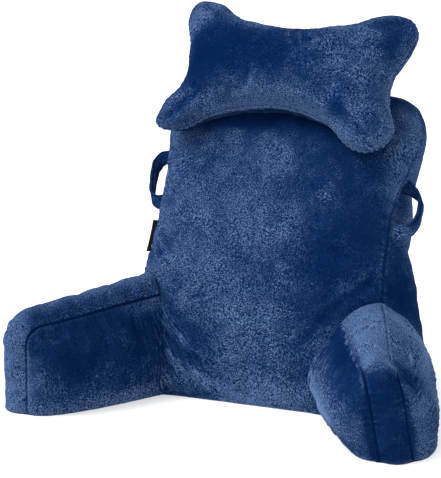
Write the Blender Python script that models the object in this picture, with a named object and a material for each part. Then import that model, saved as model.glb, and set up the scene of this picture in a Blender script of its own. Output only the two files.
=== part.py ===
"""Reading pillow with arms, in metres, +Z up, seen from the front along +Y.

The origin is the middle of the backrest's flat base. The backrest leans back over it, the two arm rests
run forward and outward along the floor, and the butterfly neck pillow lies against the backrest's top edge.
Every filled piece is a box-shaped cushion: a lattice over the faces of a box, whose edges are the seams.
"""

import math

import bmesh
import bpy
import numpy as np
from mathutils import Matrix, Vector

# Driving dimensions
BACK_RISE = 0.578          # backrest, floor to top edge, measured up its front
BACK_FOOT_LEAN = math.radians(11.0)   # lean of the front panel at the floor
BACK_TOP_LEAN = math.radians(36.4)    # and at its top edge, curving evenly between them
BACK_FOOT_Y = -0.098       # front of the backrest at the floor, behind which the origin lies
BACK_CORNER_R = 0.085      # rounding of its two top corners in the front view
BACK_CROWN = 0.030         # bulge of the front panel
REAR_CROWN = 0.030         # bulge of the rear panel
SIDE_CROWN = (0.024, 0.012)   # bulge of the side gusset, below and at its top
TOP_CROWN = 0.022          # bulge of the top gusset
TILT_RISE = 0.16           # the sections turn from level to square with the lean over this rise
FOOT_FLARE = 0.022         # how far the arms draw the foot of the front panel forward beside them
FLARE_RISE = 0.17          # and up to which rise
RIGHT_SPREAD = 0.010       # how far the filling spreads the front panel's top to the right
GAP = 0.0008               # clearance between pieces that touch
SLIVER = 0.0001            # edges of a cut shorter than this are merged

ARM_STRIP_CROWN = 0.020    # height of the strip's crown over its two seams at the front
ARM_BACK_S = -0.135        # an arm starts inside the backrest, this far along its centreline
ARM_CORNER_R = 0.034       # rounding of an arm's top front corner, in side view

NECK_THICK = 0.060         # half thickness of the neck pillow at its middle
NECK_RECLINE = math.radians(37.0)
NECK_ROLL = math.radians(3.3)
NECK_CENTRE = (-0.012, 0.086, 0.560)

LOOP_WIDTH = 0.027         # carry loop strap
LOOP_THICK = 0.0060
TAG_HEIGHT = 0.060         # folded tag in the left seam
TAG_REACH = 0.0105
TAG_THICK = 0.0016

# Backrest, up its front: half the width at the front seam and at the rear seam, and the depth between them
BACK_SECTIONS = (
    # rise, half_width, rear_half, depth
    (0.000, 0.248, 0.242, 0.176),
    (0.016, 0.264, 0.258, 0.192),
    (0.060, 0.264, 0.258, 0.192),
    (0.120, 0.250, 0.250, 0.184),
    (0.180, 0.236, 0.240, 0.174),
    (0.250, 0.227, 0.222, 0.164),
    (0.330, 0.225, 0.198, 0.152),
    (0.400, 0.228, 0.186, 0.142),
    (0.440, 0.234, 0.187, 0.134),
    (0.500, 0.243, 0.190, 0.122),
    (0.578, 0.243, 0.190, 0.100),
)

# Arms: where the centreline passes the foot of the backrest, its splay from straight ahead, and its length
# to the front strip
ARMS = (
    # name, side, root_x, splay_deg, length, (seam heights back, middle, front), lean,
    # (inner bulge back, front), (outer bulge back, front), half width of the strip (back, front),
    # share of the bulge at the floor (inner, outer), share of the height up to which the outer one stays full
    # (back, front), how much higher the strip's outer seam is than its inner one at the back, its crown there
    ("arm_left", -1, 0.226, 27.0, 0.241, (0.190, 0.166, 0.151), 0.000, (0.046, 0.054), (0.068, 0.064),
     (0.033, 0.034), (0.80, 0.86), (0.40, 0.30), 0.016, 0.020),
    ("arm_right", 1, 0.228, 30.2, 0.238, (0.174, 0.157, 0.136), -0.024, (0.064, 0.064), (0.080, 0.073),
     (0.033, 0.0265), (0.62, 0.88), (0.46, 0.36), 0.032, 0.010),
)

# Seam outline of the neck pillow, clockwise from the lower left lobe's tip, seen from the front
NECK_OUTLINE = (
    # x, y, lobe_tip
    (-0.216, -0.128, True),
    (-0.217, -0.090, False),
    (-0.188, -0.030, False),
    (-0.206, 0.045, False),
    (-0.235, 0.108, False),
    (-0.221, 0.142, True),
    (-0.168, 0.140, False),
    (-0.105, 0.106, False),
    (0.000, 0.088, False),
    (0.090, 0.106, False),
    (0.170, 0.136, False),
    (0.214, 0.131, True),
    (0.230, 0.092, False),
    (0.209, 0.015, False),
    (0.217, -0.038, False),
    (0.239, -0.091, False),
    (0.218, -0.130, True),
    (0.167, -0.130, False),
    (0.100, -0.082, False),
    (0.000, -0.064, False),
    (-0.100, -0.086, False),
    (-0.165, -0.130, False),
)

# Folds of the cloth: a shallow valley along a straight line over one face of a piece. The backrest's and the
# neck pillow's lie in their front views, the arms' on the strip, as shares across and along it.
FOLDS = (
    # piece, start, end, depth, half_width
    ("backrest", (-0.190, 0.190), (-0.060, 0.090), 0.0040, 0.014),
    ("backrest", (-0.165, 0.150), (-0.085, 0.045), 0.0040, 0.014),
    ("backrest", (-0.105, 0.085), (0.020, 0.020), 0.0030, 0.016),
    ("backrest", (-0.215, 0.300), (-0.140, 0.235), 0.0030, 0.014),
    ("backrest", (0.232, 0.185), (0.222, 0.235), 0.0035, 0.013),
    ("backrest", (0.150, 0.175), (0.095, 0.100), 0.0035, 0.014),
    ("arm_right", (0.05, 0.560), (0.95, 0.545), 0.0050, 0.035),
    ("arm_left", (0.05, 0.500), (0.95, 0.520), 0.0030, 0.035),
    ("neck_pillow", (-0.205, -0.122), (-0.115, -0.050), 0.0060, 0.012),
    ("neck_pillow", (0.200, -0.120), (0.120, -0.050), 0.0060, 0.012),
    ("neck_pillow", (-0.208, 0.128), (-0.135, 0.075), 0.0060, 0.012),
    ("neck_pillow", (0.206, 0.124), (0.135, 0.075), 0.0060, 0.012),
    ("neck_pillow", (0.010, 0.080), (0.035, 0.035), 0.0030, 0.012),
    ("neck_pillow", (-0.060, -0.060), (-0.045, -0.020), 0.0030, 0.012),
)

# Where the carry loops and the tag meet the front seam, as rises up the backrest
LOOPS = (
    # name, side, low_rise, high_rise, reach
    ("loop_left", -1, 0.350, 0.440, 0.041),
    ("loop_right", 1, 0.328, 0.414, 0.043),
)
TAG_RISE = 0.282

CLOTH_COLOUR = (0.020, 0.062, 0.170, 1.0)
TAG_COLOUR = (0.012, 0.011, 0.012, 1.0)


def material(name, colour, roughness):
    """A Principled material of one colour."""
    made = bpy.data.materials.new(name)
    made.use_nodes = True
    shader = made.node_tree.nodes["Principled BSDF"]
    shader.inputs["Base Color"].default_value = colour
    shader.inputs["Roughness"].default_value = roughness
    shader.inputs["Metallic"].default_value = 0.0
    made.diffuse_color = colour
    return made


def add_object(name, bm, finish):
    """The bmesh as a named object, shaded smooth, its normals outward."""
    bmesh.ops.remove_doubles(bm, verts=bm.verts, dist=1e-6)
    bmesh.ops.recalc_face_normals(bm, faces=bm.faces)
    bmesh.ops.triangulate(bm, faces=bm.faces)
    mesh = bpy.data.meshes.new(name)
    bm.to_mesh(mesh)
    bm.free()
    mesh.shade_smooth()
    mesh.materials.append(finish)
    made = bpy.data.objects.new(name, mesh)
    bpy.context.scene.collection.objects.link(made)
    return made


def box_shell(name, cells, place, finish):
    """A closed mesh over the six faces of a unit box. place(u, v, w) puts each lattice point."""
    nu, nv, nw = cells
    bm = bmesh.new()
    points = {}

    def point(i, j, k):
        if (i, j, k) not in points:
            points[i, j, k] = bm.verts.new(place(spaced(i, nu), spaced(j, nv), spaced(k, nw)))
        return points[i, j, k]

    for k in (0, nw):
        for i in range(nu):
            for j in range(nv):
                bm.faces.new([point(i, j, k), point(i + 1, j, k), point(i + 1, j + 1, k), point(i, j + 1, k)])
    for j in (0, nv):
        for i in range(nu):
            for k in range(nw):
                bm.faces.new([point(i, j, k), point(i + 1, j, k), point(i + 1, j, k + 1), point(i, j, k + 1)])
    for i in (0, nu):
        for j in range(nv):
            for k in range(nw):
                bm.faces.new([point(i, j, k), point(i, j + 1, k), point(i, j + 1, k + 1), point(i, j, k + 1)])
    return add_object(name, bm, finish)


def smooth(x):
    """Eases from 0 to 1 as x goes from 0 to 1."""
    x = min(max(x, 0.0), 1.0)
    return x * x * (3.0 - 2.0 * x)


def spaced(i, count):
    """Position of lattice row i of count, with the first and last rows closer, beside the seams."""
    if i in (0, count):
        return float(i // count)
    first = 0.35 / count
    return first + (i - 1) * (1.0 - 2.0 * first) / (count - 2) if count > 2 else 0.5


def fold_depth(piece, a, b):
    """Depth of a piece's folds at a point of its flat view."""
    total = 0.0
    for name, start, end, depth, half_width in FOLDS:
        if name != piece:
            continue
        run = (end[0] - start[0], end[1] - start[1])
        length = math.hypot(*run)
        t = ((a - start[0]) * run[0] + (b - start[1]) * run[1]) / length ** 2
        off = ((a - start[0]) * run[1] - (b - start[1]) * run[0]) / length
        total += depth * math.exp(-((off / half_width) ** 2)) * smooth((t + 0.15) / 0.3) * smooth((1.15 - t) / 0.3)
    return total


def rounded_edge(distance, straight, radius, turn):
    """A point on an edge that runs straight and then turns along an arc: how far along, how far in."""
    if distance <= straight:
        return distance, 0.0
    angle = min((distance - straight) / radius, turn)
    return straight + radius * math.sin(angle), radius * (1.0 - math.cos(angle))


def coons(u, w, bottom, top, left, right):
    """Coons patch: the two ruled sheets between opposite edges, less the plain sheet between the corners."""
    corners = (
        bottom(0.0) * (1.0 - u) * (1.0 - w)
        + bottom(1.0) * u * (1.0 - w)
        + top(0.0) * (1.0 - u) * w
        + top(1.0) * u * w
    )
    return bottom(u) * (1.0 - w) + top(u) * w + left(w) * (1.0 - u) + right(w) * u - corners


def back_section(rise):
    """Half width, rear half width and depth of the backrest at a rise up its front, from the table."""
    rises, *columns = zip(*BACK_SECTIONS)
    return [float(np.interp(rise, rises, column)) for column in columns]


def back_front(rise):
    """How far back and how high the front panel's plain surface is at a rise, and its lean there."""
    bend = (BACK_TOP_LEAN - BACK_FOOT_LEAN) / BACK_RISE
    lean = BACK_FOOT_LEAN + bend * rise
    y = BACK_FOOT_Y + (math.cos(BACK_FOOT_LEAN) - math.cos(lean)) / bend
    z = (math.sin(lean) - math.sin(BACK_FOOT_LEAN)) / bend
    return y, z, lean


def back_outline(u, w):
    """Across and up the flat front panel, with its two top corners rounded."""
    top_half = BACK_SECTIONS[-1][1]
    turn = math.pi / 4.0
    side_straight = BACK_RISE - BACK_CORNER_R
    side_length = side_straight + BACK_CORNER_R * turn
    top_straight = top_half - BACK_CORNER_R
    top_length = top_straight + BACK_CORNER_R * turn

    def bottom(t):
        return Vector(((2.0 * t - 1.0) * back_section(0.0)[0], 0.0))

    def top(t):
        along, drop = rounded_edge(abs(2.0 * t - 1.0) * top_length, top_straight, BACK_CORNER_R, turn)
        return Vector((math.copysign(along, t - 0.5), BACK_RISE - drop))

    def side(t, sign):
        rise, inward = rounded_edge(t * side_length, side_straight, BACK_CORNER_R, turn)
        return Vector((sign * (back_section(min(rise, side_straight))[0] - inward), rise))

    return coons(u, w, bottom, top, lambda t: side(t, -1.0), lambda t: side(t, 1.0))


def back_edge_normal(u, up):
    """Direction out of the front panel's edge at a point of its sides or top, across and up the panel."""
    if u in (0.0, 1.0):
        along = back_outline(u, min(up + 0.01, 1.0)) - back_outline(u, max(up - 0.01, 0.0))
        along = along if u else -along
    else:
        along = back_outline(max(u - 0.01, 0.0), up) - back_outline(min(u + 0.01, 1.0), up)
    along.normalize()
    return along.y, max(-along.x, 0.0)


def back_place(u, v, w):
    """A lattice point of the backrest: u across, v front to rear, w up."""
    up = w ** 1.1
    across, rise = back_outline(u, up)
    half, rear_half, depth = back_section(rise)
    y, z, lean = back_front(rise)
    tilt = lean * smooth(rise / TILT_RISE)
    inward = Vector((0.0, math.cos(tilt), -math.sin(tilt)))
    edge = 2.0 * u - 1.0
    y -= FOOT_FLARE * (1.0 - v) * smooth((abs(edge) - 0.45) / 0.5) * (1.0 - smooth(rise / FLARE_RISE))
    across += RIGHT_SPREAD * (1.0 - v) * smooth(edge) * smooth((rise - 0.34) / 0.14)
    point = Vector((across * (1.0 + (rear_half / half - 1.0) * v), y, z)) + inward * depth * v
    base = 0.35 + 0.65 * smooth(up / 0.06)
    if v in (0.0, 1.0):
        swell = math.sqrt((1.0 - abs(edge) ** 3) * (1.0 - max(2.0 * up - 1.0, 0.0) ** 5)) * base
        point += inward * (REAR_CROWN if v else -BACK_CROWN) * swell
        if v == 0.0:
            point += inward * fold_depth("backrest", across, rise)
    if u in (0.0, 1.0) or w == 1.0:
        out_x, out_rise = back_edge_normal(u, up)
        side_crown = SIDE_CROWN[0] + (SIDE_CROWN[1] - SIDE_CROWN[0]) * smooth((rise - 0.34) / 0.14)
        bulge = math.sin(math.pi * v) * (side_crown * abs(out_x) + TOP_CROWN * abs(out_rise)) * base
        point.x += bulge * out_x
        point += Vector((0.0, math.sin(lean), math.cos(lean))) * bulge * out_rise
    if w == 0.0:
        point.z = 0.0
    return point


def build_backrest(finish):
    return box_shell("backrest", (28, 8, 34), back_place, finish)


def arm_frame(side, root_x, splay):
    """Root of an arm's centreline, its direction forward and its direction outward."""
    root = Vector((side * root_x, BACK_FOOT_Y, 0.0))
    forward = Vector((side * math.sin(splay), -math.cos(splay), 0.0))
    outward = Vector((side * math.cos(splay), math.sin(splay), 0.0))
    return root, forward, outward


def arm_place(arm):
    """The function that places an arm's lattice: u inner to outer, v back to front, w up."""
    name, side, root_x, splay_deg, length, seams, lean, inner_bulge, outer_bulge, strip_half = arm[:10]
    foot, full, lift, back_crown = arm[10:]
    seam_back, seam_mid, seam_front = seams
    root, forward, outward = arm_frame(side, root_x, math.radians(splay_deg))
    turn = math.pi / 4.0
    run = length - ARM_BACK_S
    top_straight = run - ARM_CORNER_R
    top_length = top_straight + ARM_CORNER_R * turn
    front_straight = seam_front - ARM_CORNER_R
    front_length = front_straight + ARM_CORNER_R * turn

    def seam_height(along):
        share = along / run
        return float(np.interp(share, (0.0, 0.35, 0.85, 1.0), (seam_back, seam_mid + 0.012, seam_front + 0.004, seam_front)))

    def top(t):
        along, drop = rounded_edge(t * top_length, top_straight, ARM_CORNER_R, turn)
        return Vector((along, seam_height(min(along, top_straight)) - drop))

    def front(t):
        height, inset = rounded_edge(t * front_length, front_straight, ARM_CORNER_R, turn)
        return Vector((run - inset, height))

    def bottom(t):
        return Vector((t * run, 0.0))

    def back(t):
        return Vector((0.0, t * seam_height(0.0)))

    def place(u, v, w):
        along, height = coons(v, w, bottom, top, back, front)
        edge = 2.0 * u - 1.0
        half = strip_half[0] + (strip_half[1] - strip_half[0]) * smooth((v - 0.4) / 0.5)
        if w < 1.0 and v < 1.0:
            back_bulge, front_bulge = outer_bulge if edge > 0.0 else inner_bulge
            foot_share = foot[1] if edge > 0.0 else foot[0]
            level = full[0] + (full[1] - full[0]) * smooth((v - 0.35) / 0.5) if edge > 0.0 else 0.30
            flank = 1.0 - (max(w - level, 0.0) / (1.0 - level)) ** 1.8
            flank *= foot_share + (1.0 - foot_share) * smooth(w / 0.40)
            bulge = back_bulge + (front_bulge - back_bulge) * smooth((v - 0.30) / 0.30)
            half += bulge * flank * (1.0 - v ** (5 if edge > 0.0 else 12)) ** 0.55 * (0.6 + 0.4 * smooth(v / 0.25))
        across = edge * half
        height += (u * lift - 0.008) * w * (1.0 - smooth(v))
        crown = back_crown + (ARM_STRIP_CROWN - back_crown) * smooth((v - 0.4) / 0.35)
        crown = crown * (1.0 - edge * edge) - fold_depth(name, u, v)
        if w == 1.0 and v < 1.0:
            height += crown
        elif v == 1.0 and w < 1.0:
            along += 0.8 * crown
        elif v == 1.0 and w == 1.0:
            height += crown * math.sin(turn)
            along += crown * math.cos(turn)
        across += lean * (height / seam_front - 0.3) * smooth(v)
        if w == 0.0:
            height = 0.0
        return root + forward * (along + ARM_BACK_S) + outward * across + Vector((0.0, 0.0, height))

    return place


def build_arm(arm, finish, backrest):
    """An arm rest, cut where it is sewn against the backrest."""
    made = box_shell(arm[0], (8, 20, 10), arm_place(arm), finish)
    cut_clear_of(made, backrest)
    return made


def cut_clear_of(made, neighbour):
    """Cuts the neighbour's shape, grown by the clearance, out of a piece, and merges slivers of the cut."""
    name = neighbour.name + "_cutter"
    cutter = bpy.data.objects.get(name)
    if cutter is None:
        mesh = neighbour.data.copy()
        grown = bmesh.new()
        grown.from_mesh(mesh)
        for vert in grown.verts:
            vert.co += vert.normal * GAP
        grown.to_mesh(mesh)
        grown.free()
        cutter = bpy.data.objects.new(name, mesh)
        cutter.hide_render = True
        cutter.display_type = "WIRE"
        bpy.context.scene.collection.objects.link(cutter)
    cut = made.modifiers.new("seat", "BOOLEAN")
    cut.operation = "DIFFERENCE"
    cut.solver = "EXACT"
    cut.object = cutter
    graph = bpy.context.evaluated_depsgraph_get()
    graph.update()
    bm = bmesh.new()
    bm.from_mesh(made.evaluated_get(graph).data)
    made.modifiers.remove(cut)
    bmesh.ops.triangulate(bm, faces=bm.faces)
    bmesh.ops.remove_doubles(bm, verts=bm.verts, dist=SLIVER)
    bmesh.ops.dissolve_degenerate(bm, edges=bm.edges, dist=SLIVER)
    bmesh.ops.triangulate(bm, faces=bm.faces)
    bm.to_mesh(made.data)
    bm.free()
    made.data.shade_smooth()


def neck_edges():
    """The neck pillow's outline as a closed smooth curve through its table, split at the four lobe tips."""
    points = np.array([row[:2] for row in NECK_OUTLINE])
    tips = [i for i, row in enumerate(NECK_OUTLINE) if row[2]]
    count = len(points)

    def curve(position):
        i = int(math.floor(position))
        t = position - i
        before, start, end, after = (points[(i + k) % count] for k in (-1, 0, 1, 2))
        return 0.5 * (
            2.0 * start
            + (end - before) * t
            + (2.0 * before - 5.0 * start + 4.0 * end - after) * t * t
            + (3.0 * start - before - 3.0 * end + after) * t ** 3
        )

    def edge(first, last):
        last = last + count if last <= first else last
        steps = np.linspace(first, last, 97)
        path = np.array([curve(s) for s in steps])
        lengths = np.concatenate([[0.0], np.cumsum(np.linalg.norm(np.diff(path, axis=0), axis=1))])
        lengths /= lengths[-1]

        def at(t):
            return Vector((float(np.interp(t, lengths, path[:, 0])), float(np.interp(t, lengths, path[:, 1]))))

        return at

    left = edge(tips[0], tips[1])
    top = edge(tips[1], tips[2])
    right = edge(tips[2], tips[3])
    bottom = edge(tips[3], tips[0])
    return (lambda t: bottom(1.0 - t)), top, left, (lambda t: right(1.0 - t))


def neck_frame():
    """Centre of the neck pillow, and its across, up and front directions."""
    up = Vector((0.0, math.sin(NECK_RECLINE), math.cos(NECK_RECLINE)))
    front = Vector((0.0, -math.cos(NECK_RECLINE), math.sin(NECK_RECLINE)))
    roll = Matrix.Rotation(-NECK_ROLL, 3, front)
    return Vector(NECK_CENTRE), roll @ Vector((1.0, 0.0, 0.0)), roll @ up, front


def build_neck_pillow(finish, backrest):
    """Two sheets over one outline, puffed apart from their common seam."""
    bottom, top, left, right = neck_edges()
    centre, across, up, front = neck_frame()
    nu, nw = 36, 22
    bm = bmesh.new()
    for sign in (1.0, -1.0):
        grid = []
        for i in range(nu + 1):
            column = []
            for k in range(nw + 1):
                u = 0.5 - 0.5 * math.cos(math.pi * i / nu) * 0.35 - 0.65 * (0.5 - i / nu)
                w = 0.5 - 0.5 * math.cos(math.pi * k / nw) * 0.35 - 0.65 * (0.5 - k / nw)
                flat = coons(u, w, bottom, top, left, right)
                fill = max(0.0, (1.0 - (2.0 * u - 1.0) ** 2) * (1.0 - (2.0 * w - 1.0) ** 2))
                puff = NECK_THICK * fill ** 0.40
                puff -= min(fold_depth("neck_pillow", flat.x, flat.y), 0.5 * puff)
                column.append(bm.verts.new(centre + across * flat.x + up * flat.y + front * sign * puff))
            grid.append(column)
        for i in range(nu):
            for k in range(nw):
                face = [grid[i][k], grid[i + 1][k], grid[i + 1][k + 1], grid[i][k + 1]]
                bm.faces.new(face if sign > 0.0 else face[::-1])
    made = add_object("neck_pillow", bm, finish)
    cut_clear_of(made, backrest)
    return made


def side_point(side, rise, outward, inward):
    """A point beside the backrest's front seam, moved outward square with the side and back along its depth."""
    y, z, lean = back_front(rise)
    point = Vector((side * (back_section(rise)[0] + outward), y, z))
    return point + Vector((0.0, math.cos(lean), -math.sin(lean))) * inward


def loop_path(side, low, high, reach, t):
    """A point on a carry loop's centreline: it leaves the seam low, stands out, and returns to it high."""
    angle = math.pi * t
    swing = math.copysign(abs(math.cos(angle)) ** 0.8, math.cos(angle))
    rise = 0.5 * (low + high) - 0.5 * (high - low) * swing
    return side_point(side, rise, reach * math.sin(angle) ** 0.62 - 0.006, 0.012 + 0.018 * math.sin(angle))


def build_loop(row, finish, backrest):
    """A flat strap with both ends in the seam. Its width follows the seam there and runs back midway."""
    name, side, low, high, reach = row
    lean = back_front(0.5 * (low + high))[2]
    depth = Vector((0.0, math.cos(lean), -math.sin(lean)))
    steps = 24
    bm = bmesh.new()
    sections = []
    for i in range(steps + 1):
        t = i / steps
        centre = loop_path(side, low, high, reach, t)
        ahead = loop_path(side, low, high, reach, min(t + 0.01, 1.0))
        ahead = (ahead - loop_path(side, low, high, reach, max(t - 0.01, 0.0))).normalized()
        turned = ahead.cross(depth).normalized()
        twist = smooth(min(t, 1.0 - t) / 0.32) * math.pi / 2.0
        wide = turned * math.cos(twist) + depth * math.sin(twist)
        thin = ahead.cross(wide).normalized()
        corners = ((1, 1), (-1, 1), (-1, -1), (1, -1))
        halves = [wide * (a * LOOP_WIDTH / 2.0) + thin * (b * LOOP_THICK / 2.0) for a, b in corners]
        sections.append([bm.verts.new(centre + half) for half in halves])
    for first, second in zip(sections, sections[1:]):
        for k in range(4):
            bm.faces.new([first[k], first[(k + 1) % 4], second[(k + 1) % 4], second[k]])
    bm.faces.new(sections[0])
    bm.faces.new(sections[-1])
    made = add_object(name, bm, finish)
    cut_clear_of(made, backrest)
    return made


def build_side_tag(finish, backrest):
    """A folded woven tag that stands out of the left seam, without lettering."""
    def place(u, v, w):
        outward = -0.004 + u * (TAG_REACH + 0.004)
        return side_point(-1, TAG_RISE + (w - 0.5) * TAG_HEIGHT, outward, 0.004 + (v - 0.5) * TAG_THICK)

    made = box_shell("side_tag", (2, 1, 4), place, finish)
    cut_clear_of(made, backrest)
    return made


def main():
    for old in list(bpy.data.objects):
        bpy.data.objects.remove(old)
    cloth = material("navy_velour", CLOTH_COLOUR, 0.9)
    tag_cloth = material("black_woven", TAG_COLOUR, 0.8)
    backrest = build_backrest(cloth)
    for arm in ARMS:
        build_arm(arm, cloth, backrest)
    build_neck_pillow(cloth, backrest)
    for row in LOOPS:
        build_loop(row, cloth, backrest)
    build_side_tag(tag_cloth, backrest)


main()
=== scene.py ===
"""Dresses the reading pillow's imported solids: an add-on whose operators build its cushions, loops and tag.

Lengths are in metres, +Z is up, and the photograph's side is towards -Y. Each cushion is a closed sheet over
a lattice. Cloth simulation crumples it between its seams, and whole arrays of offsets then add the seam
grooves, gathers, folds and lumps.
"""

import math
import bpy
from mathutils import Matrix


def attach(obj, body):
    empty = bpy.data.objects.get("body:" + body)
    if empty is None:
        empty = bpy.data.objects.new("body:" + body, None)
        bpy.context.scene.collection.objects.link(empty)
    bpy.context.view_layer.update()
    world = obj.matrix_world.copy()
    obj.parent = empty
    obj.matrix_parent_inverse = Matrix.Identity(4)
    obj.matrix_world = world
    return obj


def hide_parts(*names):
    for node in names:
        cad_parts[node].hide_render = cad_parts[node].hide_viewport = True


bl_info = {
    "name": "Reading pillow",
    "version": (1, 0, 0),
    "blender": (4, 5, 0),
    "location": "View3D > Sidebar > Pillow",
    "description": "Builds the velour cushions, carry loops, tag and studio of a reading pillow",
    "category": "Object",
}

import bpy
import numpy as np
from bpy.props import FloatProperty, FloatVectorProperty, IntProperty, PointerProperty
from mathutils import Vector
from mathutils.bvhtree import BVHTree
from mathutils.kdtree import KDTree

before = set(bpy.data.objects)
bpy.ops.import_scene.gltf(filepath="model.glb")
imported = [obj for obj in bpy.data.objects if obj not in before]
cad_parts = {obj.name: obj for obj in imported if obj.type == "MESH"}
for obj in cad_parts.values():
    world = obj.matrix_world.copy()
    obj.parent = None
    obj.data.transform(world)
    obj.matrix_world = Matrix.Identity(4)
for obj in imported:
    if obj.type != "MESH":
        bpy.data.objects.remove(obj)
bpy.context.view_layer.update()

# ------------------------ shape tables, the same as in the solids

FOOT_Y = -0.098
FOOT_LEAN, TOP_LEAN = math.radians(11.0), math.radians(36.4)
BACK_RISE = 0.578
BACK_CORNER_R = 0.085
BACK_CROWN, SIDE_CROWN, TOP_CROWN = 0.030, (0.024, 0.012), 0.022
TILT_RISE, FOOT_FLARE, FLARE_RISE, RIGHT_SPREAD = 0.16, 0.022, 0.17, 0.010
BACK_SECTIONS = np.array((
    # rise, half_width, rear_half, depth
    (0.0, 0.248, 0.242, 0.176), (0.016, 0.264, 0.258, 0.192), (0.06, 0.264, 0.258, 0.192),
    (0.12, 0.25, 0.25, 0.184), (0.18, 0.236, 0.24, 0.174), (0.25, 0.227, 0.222, 0.164), (0.33, 0.225, 0.198, 0.152),
    (0.4, 0.228, 0.186, 0.142), (0.44, 0.234, 0.187, 0.134), (0.5, 0.243, 0.19, 0.122), (0.578, 0.243, 0.19, 0.1),
))
STRIP_CROWN, ARM_BACK, ARM_CORNER_R = 0.020, -0.135, 0.034
# Pairs are (back, front), but a foot is the share of the bulge at the floor (inner, outer)
ARMS = {
    "arm_left": {
        "side": -1, "root": 0.226, "splay": 27.0, "length": 0.241, "seams": (0.190, 0.166, 0.151), "lean": 0.0,
        "inner": (0.046, 0.054), "outer": (0.068, 0.064), "strip": (0.033, 0.034), "foot": (0.80, 0.86),
        "full": (0.40, 0.30), "lift": 0.016, "crown": 0.020,
    },
    "arm_right": {
        "side": 1, "root": 0.228, "splay": 30.2, "length": 0.238, "seams": (0.174, 0.157, 0.136), "lean": -0.024,
        "inner": (0.064, 0.064), "outer": (0.080, 0.073), "strip": (0.033, 0.0265), "foot": (0.62, 0.88),
        "full": (0.46, 0.36), "lift": 0.032, "crown": 0.010,
    },
}
# An arm's length and height for flat coordinates on its flanks, and the length of its lattice from the joint
FLANK_LENGTH, FLANK_HEIGHT, JOINT_LENGTH = 0.376, 0.17, 0.30
# How far each arm's cover may crumple, its gathers and its strip's folds beside the other covers' ones, its rings
# (pitch, depth, share of the length over which they fade, painted highlight on their ridges) and its combed rows
# (lean, reach, scale across)
ARM_CLOTH = {
    "arm_left": {
        "cap": 0.003, "gather": 0.8, "strip_fold": 0.15, "rings": (0.0105, 0.0014, 0.10, 0.12),
        "rows": (0.060, 0.028, 0.25),
    },
    "arm_right": {
        "cap": 0.005, "gather": 1.15, "strip_fold": 1.0, "rings": (0.018, 0.0024, 0.20, 0.30),
        "rows": (0.0, 0.060, 0.12),
    },
}
# Folds over an arm's strip, across it and along it as shares
STRIP_FOLDS = ((0.0, 0.56, 1.0, 0.545, 0.01, 0.0036, 0.012), (0.0, 0.44, 1.0, 0.47, -0.01, 0.0014, 0.012))
NECK_THICK = 0.060
NECK_LEAN, NECK_ROLL = math.radians(37.0), math.radians(3.3)
NECK_CENTRE = np.array((-0.012, 0.086, 0.560))
NECK_OUTLINE = np.array((
    # x, y, lobe_tip: clockwise from the lower left lobe's tip
    (-0.216, -0.128, 1), (-0.217, -0.09, 0), (-0.193, -0.028, 0), (-0.21, 0.045, 0), (-0.235, 0.108, 0),
    (-0.221, 0.142, 1), (-0.17, 0.138, 0), (-0.105, 0.106, 0), (0.0, 0.091, 0), (0.09, 0.11, 0), (0.166, 0.139, 0),
    (0.214, 0.131, 1), (0.23, 0.092, 0), (0.209, 0.015, 0), (0.217, -0.038, 0), (0.239, -0.091, 0),
    (0.218, -0.13, 1), (0.167, -0.13, 0), (0.1, -0.082, 0), (0.0, -0.064, 0), (-0.1, -0.086, 0), (-0.165, -0.13, 0),
))
LOOPS = {
    # side, low_rise, high_rise, reach
    "loop_left": (-1, 0.350, 0.440, 0.045),
    "loop_right": (1, 0.328, 0.414, 0.043),
}
LOOP_WIDTH, LOOP_THICK = 0.027, 0.0060
STITCHES = 0.78  # where a strap's stitching runs, as a share of its half width
TAG_RISE, TAG_HEIGHT, TAG_REACH, TAG_THICK = 0.282, 0.060, 0.0105, 0.0016
TAG_SEWN_IN = 0.004  # how much of the tag lies in the seam
CLEAR = 0.0006  # between a finished piece and the cushion it is sewn or laid against
BASE_SHARE = 0.3  # of the cloth's offsets that is left where a cover stands on the floor

# The camera, solved from the photograph: focal length and width of its frame in pixels
LOOK, AZIMUTH, ELEVATION, DISTANCE = Vector((0.009, -0.216, 0.312)), math.radians(26.07), math.radians(10.0), 2.70
FOCAL_PIXELS, FRAME_PIXELS = 1629.5, 441.0
FLOOR_RADIUS = 60.0

# Cells of the covers' lattices, two subdivisions coarser than their finished meshes
BACK_CELLS, ARM_CELLS, NECK_CELLS = (44, 14, 52), (10, 30, 18), (48, 30)
SEARCH = 0.03  # how far from a point the cushion beside it is looked for

# ------------------------ where the cloth folds

# Valleys in the backrest's front view: across and up at both ends, bow, depth, half width
BACK_FOLDS = (
    (-0.2, 0.2, -0.05, 0.085, 0.012, 0.0034, 0.01), (-0.19, 0.165, -0.08, 0.045, 0.01, 0.0032, 0.009),
    (-0.205, 0.14, -0.12, 0.035, 0.008, 0.0026, 0.008), (-0.11, 0.09, 0.03, 0.018, 0.008, 0.0022, 0.011),
    (-0.222, 0.31, -0.15, 0.24, 0.006, 0.0022, 0.007), (-0.215, 0.27, -0.15, 0.215, 0.005, 0.002, 0.006),
    (0.15, 0.18, 0.08, 0.095, -0.006, 0.001, 0.01), (0.185, 0.215, 0.12, 0.15, -0.006, 0.0012, 0.008),
    (0.215, 0.245, 0.175, 0.19, -0.004, 0.002, 0.007),
)
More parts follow.
